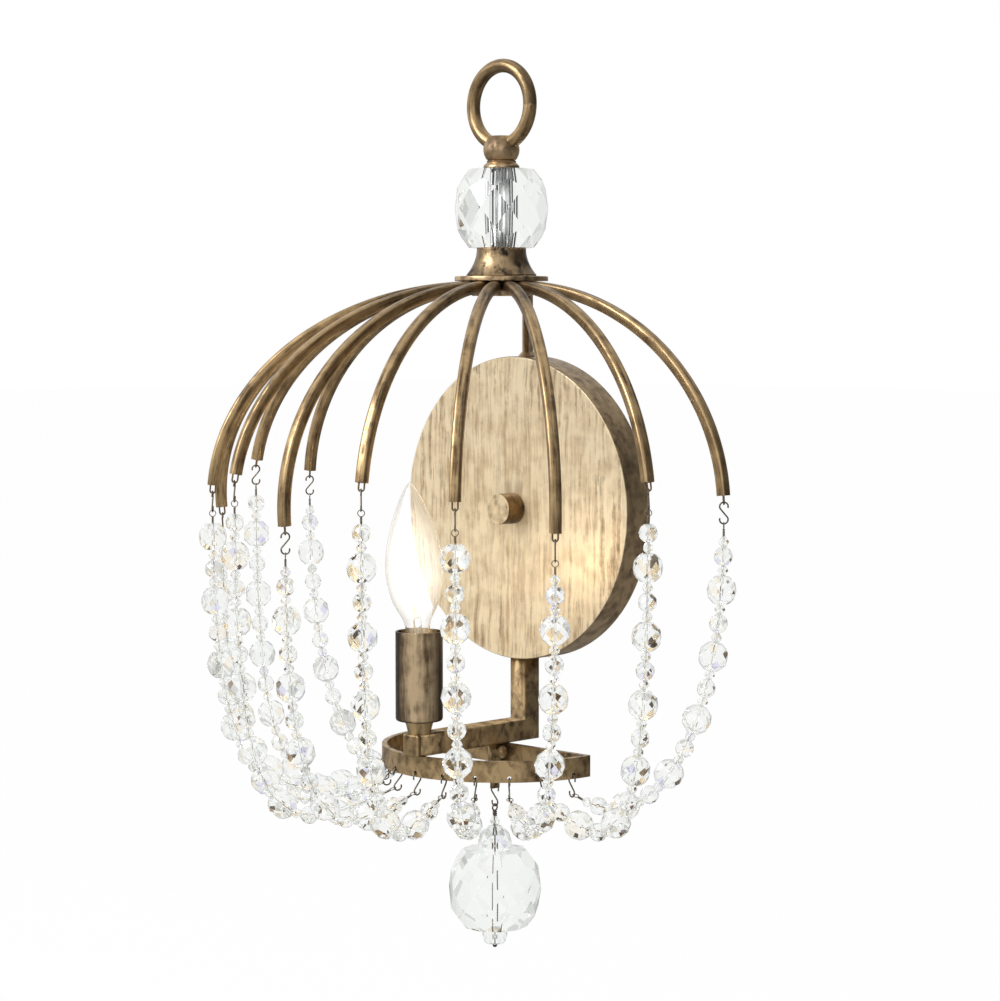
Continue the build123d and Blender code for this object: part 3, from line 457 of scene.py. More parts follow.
def new_material(name: str) -> tuple[Material, NodeRow, Node, Node]:
    """Starts a material with a Principled shader.

    Args:
        name: the material's name.
    Returns:
        The material, its node row, the shader and the output node.
    """
    material = bpy.data.materials.new(name)
    material.use_nodes = True
    material.node_tree.nodes.clear()
    row = NodeRow(material.node_tree)
    output = row.add("ShaderNodeOutputMaterial")
    shader = row.add("ShaderNodeBsdfPrincipled")
    row.link(shader.outputs[0], output.inputs[0])
    return material, row, shader, output


@dataclass(frozen=True)
class PatinaFinish:
    """Painted and rubbed gold-bronze metal.

    The light, mid and dark colours are mixed by the shared patina group. Turned paints shade on what turns
    away from the eye, and rim is the radius in metres of a round face that is stained toward its edge and has
    a painted highlight along it.
    """

    name: str
    light: Triple
    mid: Triple
    dark: Triple
    stain: float
    way: StreakWay
    metallic: float = 1.0
    bump: float = 0.25
    streaks: Triple = (480.0, 480.0, 11.0)
    turned: float = 0.0
    rim: float = 0.0

    def build(self) -> Material:
        """Makes the material.

        Returns:
            The material.
        """
        material, row, shader, _ = new_material(self.name)
        place = row.object_place()
        bar_place = row.attribute("bar_place").outputs["Vector"] if self.way is StreakWay.ALONG_BAR else None
        streaks = self.streak_place(row, place, bar_place)
        inputs = {"Place": place, "Streak place": streaks, "Stain": self.stain}
        inputs |= {"Light": self.light, "Mid": self.mid, "Dark": self.dark}
        group = row.group(patina_group(), inputs)
        if self.rim:
            self.mark_rim(row, place, group)
        colour = group.outputs["Color"]
        if bar_place is not None:
            row.link(row.attribute("bar_corner").outputs["Fac"], group.inputs["Edge"])
            root = row.ramp(row.math("MULTIPLY", row.parts(bar_place)[0], 5.0), DARK_ROOT_STOPS)
            root = row.math("MULTIPLY", root, noise(row, streaks, 0.7, 3.0), clamp=True)
            colour = row.mix(root, colour, self.dark)
        # Painted shade: what turns away from the eye is mixed toward the dark colour.
        if self.turned:
            away = row.math("MULTIPLY", row.ramp(row.facing(), FACING_SHADE_STOPS), self.turned)
            colour = row.mix(away, colour, self.dark)
        row.link(colour, shader.inputs["Base Color"])
        row.link(group.outputs["Roughness"], shader.inputs["Roughness"])
        row.link(row.math("MULTIPLY", group.outputs["Metallic"], self.metallic), shader.inputs["Metallic"])
        row.bump(shader, group.outputs["Height"], self.bump, 0.3 * MM)
        return material

    def streak_place(
        self, row: NodeRow, place: Socket, bar_place: Socket | None
    ) -> Socket:
        """Coordinates that the streaks follow.

        Args:
            row: where the nodes go.
            place: the piece's own coordinates.
            bar_place: the coordinates along and around a bar, if it is one.
        Returns:
            The scaled coordinates.
        """
        if bar_place is not None:
            return scaled(row, bar_place, ALONG_BAR_STREAKS)
        if self.way is StreakWay.UPRIGHT:
            return scaled(row, self.drifted(row, place), self.streaks)
        return scaled(row, place, EVEN_STREAKS)

    def drifted(self, row: NodeRow, place: Socket) -> Socket:
        """Bends the streaks a little so that no two strokes run quite parallel.

        Args:
            row: where the nodes go.
            place: the coordinates.
        Returns:
            The bent coordinates.
        """
        drift = noise_node(row, place, 45.0, 3.0)
        bend = row.vector_math("SCALE", {0: drift.outputs["Color"], "Scale": STROKE_BEND})
        return row.vector_math("ADD", {0: place, 1: bend.outputs[0]}).outputs[0]

    def mark_rim(self, row: NodeRow, place: Socket, group: Node) -> None:
        """Stains a round face toward its rim and paints a highlight along the rim's edge.

        Args:
            row: where the nodes go.
            place: the coordinates.
            group: the patina group to feed.
        """
        flat = row.vector_math("MULTIPLY", {0: place, 1: (1.0, 0.0, 1.0)})
        size = row.vector_math("LENGTH", {0: flat.outputs[0]})
        share = row.math("DIVIDE", size.outputs["Value"], self.rim)
        more = row.ramp(row.weighted(noise(row, place, 30.0, 2.0), 0.5, share, 0.6), RIM_STAIN_STOPS)
        row.link(row.math("MULTIPLY", more, self.stain), group.inputs["Stain"])
        # Painted highlight: a thin ring just inside the rim goes toward the light colour.
        bright = [(1.0 - inset / self.rim, level) for inset, level in RIM_HIGHLIGHT_INSETS]
        row.link(row.ramp(share, bright), group.inputs["Edge"])


@dataclass(frozen=True)
class PlainFinish:
    """Plain metal, plastic or wire with a fine grain."""

    name: str
    low: Triple
    high: Triple
    roughness: float = 0.3
    metallic: float = 0.0
    glow: float = 0.0

    def build(self) -> Material:
        """Makes the material.

        Returns:
            The material.
        """
        material, row, shader, _ = new_material(self.name)
        inputs = {"Place": row.object_place(), "Low": self.low, "High": self.high, "Rough": self.roughness}
        group = row.group(speckle_group(), inputs)
        row.link(group.outputs["Color"], shader.inputs["Base Color"])
        row.link(group.outputs["Roughness"], shader.inputs["Roughness"])
        shader.inputs["Metallic"].default_value = self.metallic
        if self.glow:
            row.link(group.outputs["Color"], shader.inputs["Emission Color"])
            shader.inputs["Emission Strength"].default_value = self.glow
        row.bump(shader, group.outputs["Height"], 0.12, 0.2 * MM)
        return material


def make_glass(
    row: NodeRow, shader: Node, output: Node, index: float, tint: float
) -> None:
    """Makes a shader clear, lets shadow rays pass it and ends very deep paths in pale light.

    Args:
        row: where the nodes go.
        shader: the glass shader.
        output: the material's output.
        index: the glass's index of refraction.
        tint: how much light passes.
    """
    shader.inputs["Transmission Weight"].default_value = 1.0
    shader.inputs["IOR"].default_value = index
    shader.inputs["Roughness"].default_value = 0.0
    path = row.add("ShaderNodeLightPath")
    clear = row.add("ShaderNodeBsdfTransparent", {0: (tint, tint, tint)})
    solid = row.mix_shaders(path.outputs["Is Shadow Ray"], shader.outputs[0], clear.outputs[0])
    pale = row.add("ShaderNodeEmission", {"Color": DEEP_GLASS_COLOUR})
    deep = row.math("GREATER_THAN", path.outputs["Ray Depth"], DEEP_GLASS_BOUNCES)
    row.link(row.mix_shaders(deep, solid, pale.outputs[0]), output.inputs[0])


@dataclass(frozen=True)
class CrystalFinish:
    """Clear cut crystal; a share of the facets, flash, carries painted amber and violet glints and painted
    smoky dark reflections.
    """

    name: str
    flash: float
    haze: float = 0.12

    def build(self) -> Material:
        """Makes the material.

        Returns:
            The material.
        """
        material, row, shader, output = new_material(self.name)
        chance = row.attribute("facet_chance").outputs["Fac"]
        # Painted glints and dark reflections: a facet's chance above its share picks one of the painted
        # tints, the rest stay clear.
        steps = [(1.0 - self.flash * share, colour) for share, colour in FACET_GLINTS]
        tint = row.colour_ramp(chance, [(0.0, CLEAR_FACET), *steps], steps=True)
        haze = row.math("MULTIPLY", noise(row, row.object_place(), 220.0, 2.0), self.haze)
        row.link(row.mix(haze, tint, HAZE_COLOUR), shader.inputs["Base Color"])
        make_glass(row, shader, output, 1.54, 0.93)
        return material


@dataclass(frozen=True)
class BulbGlassFinish:
    """Clear blown glass of the lamp, which carries the glow of its filament between two heights in metres."""

    name: str
    glow_foot: float = -0.070
    glow_reach: float = 0.090

    def build(self) -> Material:
        """Makes the material.

        Returns:
            The material.
        """
        material, row, shader, output = new_material(self.name)
        place = row.object_place()
        inputs = {"Place": place, "Low": (0.985, 0.98, 0.97), "High": (1.0, 1.0, 1.0)}
        group = row.group(speckle_group(), inputs)
        rise = row.math("DIVIDE", row.math("ADD", row.parts(place)[2], -self.glow_foot), self.glow_reach)
        facing = row.facing()
        # Painted shade: the glass's edges go toward a grey beige.
        edge = row.ramp(facing, GLASS_EDGE_SHADE_STOPS)
        row.link(row.mix(edge, group.outputs["Color"], GLASS_EDGE_SHADE_COLOUR), shader.inputs["Base Color"])
        lit = row.math("MULTIPLY", row.ramp(rise, GLOW_HEIGHT_STOPS), row.ramp(facing, GLOW_CORE_STOPS))
        row.link(row.mix(lit, (0.0, 0.0, 0.0), GLOW_COLOUR), shader.inputs["Emission Color"])
        shader.inputs["Emission Strength"].default_value = 0.16
        make_glass(row, shader, output, 1.45, 1.0)
        return material


@dataclass(frozen=True)
class ChromeFinish:
    """Bright polished tube with painted reflection bands, darker where it turns away, and painted shade
    toward its ends; middle is a height in metres.
    """

    name: str
    middle: float

    def build(self) -> Material:
        """Makes the material.

        Returns:
            The material.
        """
        material, row, shader, _ = new_material(self.name)
        place = row.object_place()
        inputs = {"Place": place, "Low": (0.80, 0.81, 0.82), "High": (0.95, 0.95, 0.95), "Rough": 0.06}
        group = row.group(speckle_group(), inputs)
        above = row.math("SUBTRACT", row.parts(place)[2], self.middle)
        # Painted reflection bands across the tube and painted shade toward its ends.
        ends = row.math("ABSOLUTE", row.math("MULTIPLY", above, TUBE_SHARE))
        across = row.ramp(row.facing(), TUBE_REFLECTION_BAND_STOPS)
        reflection_and_shade = row.mix(1.0, across, row.ramp(ends, TUBE_END_SHADE_STOPS), "MULTIPLY")
        row.link(row.mix(1.0, group.outputs["Color"], reflection_and_shade, "MULTIPLY"), shader.inputs["Base Color"])
        row.link(group.outputs["Roughness"], shader.inputs["Roughness"])
        shader.inputs["Metallic"].default_value = 1.0
        return material


GOLD_BAR = PatinaFinish(
    "gold_bronze_bars", (0.61, 0.43, 0.225), (0.19, 0.123, 0.062), (0.035, 0.023, 0.014), 1.0,
    StreakWay.ALONG_BAR,
)
GOLD_CAST = PatinaFinish(
    "gold_bronze_cast", (0.70, 0.51, 0.30), (0.25, 0.17, 0.10), (0.03, 0.02, 0.013), 1.0, StreakWay.EVEN
)
FLARE_CAST = PatinaFinish(
    "gold_bronze_flare", (0.58, 0.42, 0.24), (0.20, 0.135, 0.075), (0.025, 0.017, 0.011), 1.7,
    StreakWay.EVEN, turned=0.5,
)
GOLD_LOWER = PatinaFinish(
    "gold_bronze_lower", (0.72, 0.52, 0.28), (0.27, 0.178, 0.09), (0.035, 0.022, 0.012), 0.85,
    StreakWay.EVEN, turned=0.25,
)
GOLD_UPRIGHT = PatinaFinish(
    "gold_bronze_tube", (0.64, 0.47, 0.28), (0.24, 0.165, 0.10), (0.035, 0.024, 0.016), 0.9,
    StreakWay.UPRIGHT, streaks=(260.0, 260.0, 16.0),
)
KNOB_FACE = PatinaFinish(
    "pale_gold_knob_face", (0.95, 0.78, 0.52), (0.46, 0.345, 0.20), (0.22, 0.15, 0.08), 1.3,
    StreakWay.EVEN, metallic=0.6, rim=0.0088,
)
KNOB_SIDE = PatinaFinish(
    "brown_gold_knob_side", (0.44, 0.28, 0.12), (0.16, 0.095, 0.04), (0.03, 0.017, 0.01), 1.0,
    StreakWay.EVEN, turned=0.6,
)
PAN_FACE = PatinaFinish(
    "brushed_gold_pan", (1.0, 0.845, 0.58), (0.70, 0.53, 0.325), (0.27, 0.175, 0.09), 1.15,
    StreakWay.UPRIGHT, metallic=0.5, bump=0.12, streaks=(440.0, 440.0, 24.0), rim=0.089,
)
PAN_RIM = PatinaFinish(
    "brushed_bronze_rim", (0.52, 0.38, 0.22), (0.26, 0.18, 0.10), (0.045, 0.03, 0.018), 0.5,
    StreakWay.EVEN, metallic=0.8,
)
CANDLE_PAINT = PatinaFinish(
    "streaked_candle", (0.92, 0.70, 0.44), (0.30, 0.21, 0.12), (0.03, 0.02, 0.014), 0.9,
    StreakWay.UPRIGHT, streaks=(210.0, 210.0, 9.0), turned=0.95,
)
BEAD_CRYSTAL = CrystalFinish("bead_crystal", 0.13)
BALL_CRYSTAL = CrystalFinish("ball_crystal", 0.03, 0.6)
BULB_GLASS = BulbGlassFinish("bulb_glass_clear")
DARK_WIRE = PlainFinish("dark_brass_wire", (0.10, 0.08, 0.06), (0.26, 0.22, 0.17), 0.26, 0.9)
EYE_WIRE = PlainFinish("gold_eye_wire", (0.13, 0.09, 0.05), (0.36, 0.26, 0.15), 0.30, 0.9)
LOOP_WIRE = PlainFinish("loop_wire", (0.16, 0.135, 0.10), (0.40, 0.34, 0.26), 0.26, 0.85)
BEAD_THREAD = PlainFinish("bead_thread", (0.46, 0.43, 0.38), (0.70, 0.66, 0.60), 0.25, 0.6)
BRIGHT_SLEEVE = ChromeFinish("bright_sleeve_metal", 0.1727)
ZINC = PlainFinish("zinc_plate", (0.55, 0.55, 0.53), (0.70, 0.70, 0.66), 0.32, 1.0)
GREEN = PlainFinish("green_screw_paint", (0.05, 0.28, 0.10), (0.09, 0.38, 0.15), 0.35)
BLACK_PLASTIC = PlainFinish("black_plastic", (0.02, 0.02, 0.02), (0.045, 0.045, 0.045), 0.45)
SOCKET_BODY = PlainFinish("socket_body_plastic", (0.66, 0.64, 0.58), (0.78, 0.76, 0.70), 0.45)
SOCKET_BRASS = PlainFinish("socket_brass", (0.58, 0.42, 0.18), (0.80, 0.62, 0.30), 0.28, 1.0)
LEAD_COVER = PlainFinish("lead_cover", (0.72, 0.72, 0.69), (0.85, 0.85, 0.82), 0.35)
CONNECTOR = PlainFinish("connector_plastic", (0.70, 0.26, 0.05), (0.84, 0.36, 0.10), 0.40)
NICKEL = PlainFinish("nickel_base", (0.58, 0.57, 0.54), (0.74, 0.73, 0.70), 0.25, 1.0)
HOT_FILAMENT = PlainFinish("hot_filament", (1.0, 0.46, 0.10), (1.0, 0.60, 0.20), 0.4, 0.0, 1.2)


# ---------------------------------------------------------------- mesh helpers


def keep(thing: Piece) -> Piece:
    """Puts an object into the scene and hands it back."""
    bpy.context.scene.collection.objects.link(thing)
    return thing


def new_object(name: str, mesh: Mesh, *materials: Material) -> Piece:
    """Puts a mesh into the scene with its materials.

    Args:
        name: the piece's name.
        mesh: its mesh, already at its place.
        materials: its finishes, one for each material slot.
    Returns:
        The new object.
    """
    mesh.materials.clear()
    for material in materials:
        mesh.materials.append(material)
    return keep(bpy.data.objects.new(name, mesh))


def polar(radius: float, angle: float) -> Pair:
    """Point on a circle, at an angle in radians."""
    return radius * math.cos(angle), radius * math.sin(angle)


def band(low: Sequence, high: Sequence) -> list[tuple]:
    """Four-cornered faces between two closed rings with the same number of corners."""
    count = len(low)
    return [(low[i], low[(i + 1) % count], high[(i + 1) % count], high[i]) for i in range(count)]


def merge(mesh: Mesh, distance: float, face_out: bool) -> None:
    """Merges points of a mesh that lie together.

    Args:
        mesh: the mesh.
        distance: how near counts as together, in metres.
        face_out: turns all faces outwards as well.
    """
    work = bmesh.new()
    work.from_mesh(mesh)
    bmesh.ops.remove_doubles(work, verts=work.verts, dist=distance)
    if face_out:
        bmesh.ops.recalc_face_normals(work, faces=work.faces)
    work.to_mesh(mesh)
    work.free()


def soften(mesh: Mesh, angle: float) -> None:
    """Shades a mesh smooth and keeps its sharp edges.

    Args:
        mesh: the mesh.
        angle: edges bent more than this many degrees stay sharp.
    """
    mesh.shade_smooth()
    mesh.set_sharp_from_angle(angle=math.radians(angle))


def lathe(
    name: str,
    profile: Pairs,
    centre: Vector,
    axis: Vector,
    angle: float = 35,
    count: int = 96,
) -> Mesh:
    """Turns a profile about an axis.

    Args:
        name: the mesh's name.
        profile: radius and height of each point, in millimetres.
        centre: where height 0 lies on the axis.
        axis: the axis.
        angle: edges bent more than this stay sharp.
        count: steps around.
    Returns:
        The closed mesh.
    """
    turn = axis.normalized().to_track_quat("Z", "Y").to_matrix()
    points: list[Vector] = []
    rings: list[range] = []
    for radius, height in profile:
        rings.append(range(len(points), len(points) + count))
        for step in range(count):
            local = Vector((*polar(radius, 2 * math.pi * step / count), height)) * MM
            points.append(centre + turn @ local)
    faces = [face for low, high in zip(rings, rings[1:]) for face in band(low, high)]
    if profile[0] != profile[-1]:
        faces += [rings[0][::-1], rings[-1]]
    mesh = bpy.data.meshes.new(name)
    mesh.from_pydata([tuple(point) for point in points], [], [tuple(face) for face in faces])
    merge(mesh, 1e-7, face_out=True)
    soften(mesh, angle)
    return mesh


def cleaned_copy(node: Piece, angle: float) -> Mesh:
    """Copies a frame node's mesh, joins its loose triangles and shades it.

    Args:
        node: the frame's node.
        angle: edges bent more than this stay sharp.
    Returns:
        The new mesh.
    """
    mesh = node.data.copy()
    merge(mesh, 2e-6, face_out=False)
    soften(mesh, angle)
    return mesh


def rounded(
    first: Pair,
    corner: Pair,
    last: Pair,
    radius: float,
    steps: int = 5,
) -> list[Pair]:
    """Rounds one corner of a profile.

    Args:
        first: the point before the corner.
        corner: the corner.
        last: the point after it.
        radius: how far from the corner the arc starts.
        steps: pieces of the arc.
    Returns:
        The points that take the corner's place.
    """
    middle = Vector(corner)
    start = middle + (Vector(first) - middle).normalized() * radius
    end = middle + (Vector(last) - middle).normalized() * radius
    out = []
    for step in range(steps + 1):
        t = step / steps
        point = start * (1 - t) ** 2 + middle * 2 * t * (1 - t) + end * t * t
        out.append((point.x, point.y))
    return out


# ---------------------------------------------------------------- geometry node trees


# A bar's corner is marked from this share of its width on, and fully a little further out.
CORNER_STEPS = 4
CORNER_START = 0.72
CORNER_GAIN = 6.0


def start_tree(
    name: str, inputs: dict[str, tuple[str, object]]
) -> tuple[NodeRow, Node, Node]:
    """Starts a geometry node tree with its named inputs.

    Args:
        name: the tree's name.
        inputs: socket type and default of each input after the geometry.
    Returns:
        The node row, the input node and the output node.
    """
    tree = bpy.data.node_groups.new(name, "GeometryNodeTree")
    tree.is_modifier = True
    for label, (kind, default) in {"Geometry": ("Geometry", None), **inputs}.items():
        socket = tree.interface.new_socket(name=label, in_out="INPUT", socket_type=f"NodeSocket{kind}")
        if default is not None:
            socket.default_value = default
    tree.interface.new_socket(name="Geometry", in_out="OUTPUT", socket_type="NodeSocketGeometry")
    row = NodeRow(tree)
    return row, row.add("NodeGroupInput"), row.add("NodeGroupOutput")


def stored(
    row: NodeRow, geometry: object, name: str, value: object, kind: str = "FLOAT", domain: str = "POINT"
) -> Socket:
    """Keeps a value as a named attribute.

    Args:
        row: where the node goes.
        geometry: the geometry.
        name: the attribute's name.
        value: the value.
        kind: its data type.
        domain: what carries it.
    Returns:
        The geometry with the attribute.
    """
    inputs = {"Geometry": geometry, "Name": name, "Value": value}
    return row.add("GeometryNodeStoreNamedAttribute", inputs, data_type=kind, domain=domain).outputs[0]


def named(row: NodeRow, name: str, kind: str = "FLOAT") -> Socket:
    """Reads a named attribute inside a geometry node tree."""
    return row.add("GeometryNodeInputNamedAttribute", {"Name": name}, data_type=kind).outputs["Attribute"]


def random_number(row: NodeRow, seed: Socket, top: float = 1.0) -> Socket:
    """A random number for each point or face, from 0 to a top."""
    inputs = {"Min": 0.0, "Max": top, "Seed": seed}
    return row.add("FunctionNodeRandomValue", inputs, data_type="FLOAT").outputs["Value"]


def end_tree(
    row: NodeRow, entry: Node, leave: Node, geometry: Socket
) -> Tree:
    """Sets the finish and closes a geometry node tree.

    Args:
        row: where the node goes.
        entry: the tree's inputs.
        leave: the tree's outputs.
        geometry: the finished geometry.
    Returns:
        The tree.
    """
    dress = row.add("GeometryNodeSetMaterial", {"Geometry": geometry, "Material": entry.outputs["Finish"]})
    row.link(dress.outputs[0], leave.inputs[0])
    return row.tree


def bar_outline(row: NodeRow, entry: Node) -> Socket:
    """Draws a bar's cross section, a square with round corners or a circle, and marks its corners.

    Args:
        row: where the nodes go.
        entry: the tree's inputs.
    Returns:
        The closed curve.
    """
    width = entry.outputs["Width"]
    inputs = {"Width": width, "Height": width}
    square = row.add("GeometryNodeCurvePrimitiveQuadrilateral", inputs, mode="RECTANGLE")
    inputs = {"Curve": square.outputs[0], "Count": CORNER_STEPS, "Radius": entry.outputs["Corner radius"]}
    corners = row.add("GeometryNodeFilletCurve", inputs, mode="POLY")
    inputs = {"Resolution": entry.outputs["Sides"], "Radius": row.math("MULTIPLY", width, 0.5)}
    circle = row.add("GeometryNodeCurvePrimitiveCircle", inputs, mode="RADIUS")
    inputs = {"Switch": entry.outputs["Round"], "False": corners.outputs[0], "True": circle.outputs[0]}
    choice = row.add("GeometryNodeSwitch", inputs, input_type="GEOMETRY")
    across, up, _ = row.parts(row.add("GeometryNodeInputPosition").outputs[0])
    spread = row.math("ADD", row.math("ABSOLUTE", across), row.math("ABSOLUTE", up))
    corner = row.math("SUBTRACT", row.math("DIVIDE", spread, width), CORNER_START)
    corner = row.math("MULTIPLY", corner, CORNER_GAIN, clamp=True)
    marked = stored(row, choice.outputs[0], "bar_corner", corner)
    length = row.add("GeometryNodeSplineParameter").outputs["Length"]
    return stored(row, marked, "bar_around", length)


def bar_tree() -> Tree:
    """Builds the tree that draws a rounded square bar or a round wire along a path of edges.

    Returns:
        The tree.
    """
    inputs = {
        "Width": ("Float", 0.006),
        "Corner radius": ("Float", 0.001),
        "Round": ("Bool", False),
        "Sides": ("Int", 10),
        "Finish": ("Material", None),
    }
    row, entry, leave = start_tree("bar_along_path", inputs)
    path = row.add("GeometryNodeMeshToCurve", {0: entry.outputs["Geometry"]})
    length = row.add("GeometryNodeSplineParameter").outputs["Length"]
    curve = stored(row, path.outputs[0], "bar_along", length)
    inputs = {"Curve": curve, "Profile Curve": bar_outline(row, entry), "Fill Caps": True}
    sweep = row.add("GeometryNodeCurveToMesh", inputs)
    pair = row.add("ShaderNodeCombineXYZ", {0: named(row, "bar_along"), 1: named(row, "bar_around")})
    placed = stored(row, sweep.outputs[0], "bar_place", pair.outputs[0], "FLOAT_VECTOR")
    real = row.add("GeometryNodeRealizeInstances", {0: placed})
    return end_tree(row, entry, leave, real.outputs[0])


def bead_tree() -> Tree:
    """Builds the tree that threads three kinds of cut bead onto marked points.

    Returns:
        The tree.
    """
    kinds = ("Large bead", "Medium bead", "Small bead")
    inputs = {label: ("Object", None) for label in kinds}
    row, entry, leave = start_tree(
        "beads_on_thread", {**inputs, "Seed": ("Int", None), "Finish": ("Material", None)}
    )
    seed = entry.outputs["Seed"]
    spin = random_number(row, seed, 2 * math.pi)
    about = row.add("FunctionNodeAxisAngleToRotation", {"Axis": UP, "Angle": spin})
    way = named(row, "way", "FLOAT_VECTOR")
    align = row.add("FunctionNodeAlignRotationToVector", {"Vector": way}, axis="Z")
    inputs = {"Rotation": align.outputs[0], "Rotate By": about.outputs[0]}
    turn = row.add("FunctionNodeRotateRotation", inputs, rotation_space="LOCAL")
    kind = named(row, "kind")
    gather = row.add("GeometryNodeJoinGeometry")
    for number, label in enumerate(kinds):
        info = row.add("GeometryNodeObjectInfo", {"As Instance": True, "Object": entry.outputs[label]})
        inputs = {
            "Points": entry.outputs["Geometry"],
            "Instance": info.outputs["Geometry"],
            "Selection": row.math("COMPARE", kind, float(number)),
            "Rotation": turn.outputs[0],
        }
        row.link(row.add("GeometryNodeInstanceOnPoints", inputs).outputs[0], gather.inputs[0])
    real = row.add("GeometryNodeRealizeInstances", {0: gather.outputs[0]})
    facets = stored(row, real.outputs[0], "facet_chance", random_number(row, seed), domain="FACE")
    return end_tree(row, entry, leave, facets)


def run_tree(piece: Piece, tree: Tree, values: dict[str, object]) -> Piece:
    """Runs a tree on an object and keeps its result as a plain mesh.

    Args:
        piece: the object whose mesh feeds the tree.
        tree: the geometry node tree.
        values: values of the tree's named inputs.
    Returns:
        The same object with the finished mesh.
    """
    modifier = piece.modifiers.new(tree.name, "NODES")
    modifier.node_group = tree
    for socket in tree.interface.items_tree:
        if socket.item_type == "SOCKET" and socket.in_out == "INPUT" and socket.name in values:
            modifier[socket.identifier] = values[socket.name]
    bpy.context.view_layer.update()
    graph = bpy.context.evaluated_depsgraph_get()
    mesh = bpy.data.meshes.new_from_object(piece.evaluated_get(graph), depsgraph=graph)
    piece.modifiers.clear()
    piece.data = mesh
    return piece


@dataclass
class Workshop:
    """The finishes, node trees and the frame that all sub-assemblies share."""

    frame: dict
    finishes: dict[str, Material] = field(default_factory=dict)
    bars: Tree = field(init=False)
    beads: Tree = field(init=False)
    slots: dict[str, str] = field(init=False)

    def __post_init__(self) -> None:
        """Builds the two geometry node trees and lists the frame's material slots."""
        self.bars = bar_tree()
        self.beads = bead_tree()
        self.slots = {part["node"]: part["material_slot"] for part in self.frame["record"]["subparts"]}

    def finish(self, finish: object) -> Material:
        """The material of a finish, built on first use."""
        if finish.name not in self.finishes:
            self.finishes[finish.name] = finish.build()
        return self.finishes[finish.name]

    def place(
        self, name: str, mesh: Mesh, finish: object, body: str, *nodes: str
    ) -> Piece:
        """Adds a piece, lets it ride and hides the frame nodes that it stands for.

        Args:
            name: the piece's name.
            mesh: its mesh.
            finish: its finish.
            body: the body it rides on.
            nodes: frame nodes that it replaces.
        Returns:
            The piece.
        """
        return self.settle(new_object(name, mesh, self.finish(finish)), body, *nodes)

    def settle(self, piece: Piece, body: str, *nodes: str) -> Piece:
        """Lets a finished piece ride on a body and stand for frame nodes.

        Args:
            piece: the piece.
            body: the body it rides on.
            nodes: frame nodes that it replaces.
        Returns:
            The piece.
        """
        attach(piece, body)
        if nodes:
            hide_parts(*nodes)
        log.info("%s: %d faces on %s", piece.name, len(piece.data.polygons), body)
        return piece

    def turn(
        self,
        name: str,
        profile: Pairs,
        centre: Vector,
        finish: object,
        body: str,
        node: str,
        axis: Vector = Vector((0, 0, 1)),
        angle: float = 35,
        count: int = 96,
    ) -> Piece:
        """Turns a piece about an axis and lets it stand for a frame node.

        Args:
            name: the piece's name.
            profile: radius and height of each point, in millimetres.
            centre: where height 0 lies on the axis.
            finish: its finish.
            body: the body it rides on.
            node: the frame node that it replaces.
            axis: the axis.
            angle: edges bent more than this stay sharp.
            count: steps around.
        Returns:
            The piece.
        """
        return self.place(name, lathe(name, profile, centre, axis, angle, count), finish, body, node)

    def sweep(
        self,
        name: str,
        paths: Sequence[Sequence[Vector]],
        finish: object,
        width: float,
        corner: float = 0.0,
        sides: int = 10,
        smooth: float = 40,
    ) -> Piece:
        """Draws bars or wires along paths.

        Args:
            name: the piece's name.
            paths: points of each path; a path whose ends meet is closed.
            finish: the finish.
            width: bar width or wire diameter, in metres.
            corner: corner radius of a square bar; 0 makes a round wire.
            sides: faces around a round wire.
            smooth: edges bent more than this stay sharp.
        Returns:
            The piece.
        """
        points: list[Vector] = []
        edges: list[tuple[int, int]] = []
        for path in paths:
            start = len(points)
            closed = (path[0] - path[-1]).length < 1e-6
            points.extend(path[:-1] if closed else path)
            edges.extend((i, i + 1) for i in range(start, len(points) - 1))
            if closed:
                edges.append((len(points) - 1, start))
        mesh = bpy.data.meshes.new(name)
        mesh.from_pydata([tuple(point) for point in points], edges, [])
        piece = new_object(name, mesh, self.finish(finish))
        values = {
            "Width": width,
            "Corner radius": corner,
            "Round": corner == 0.0,
            "Sides": sides,
            "Finish": self.finish(finish),
        }
        run_tree(piece, self.bars, values)
        soften(piece.data, smooth)
        return piece


# ---------------------------------------------------------------- shapes shared by several sub-assemblies


@dataclass(frozen=True)
class FacetRow:
    """One row of facets: latitude in degrees and distance as a share of the radius."""

    latitude: float
    share: float


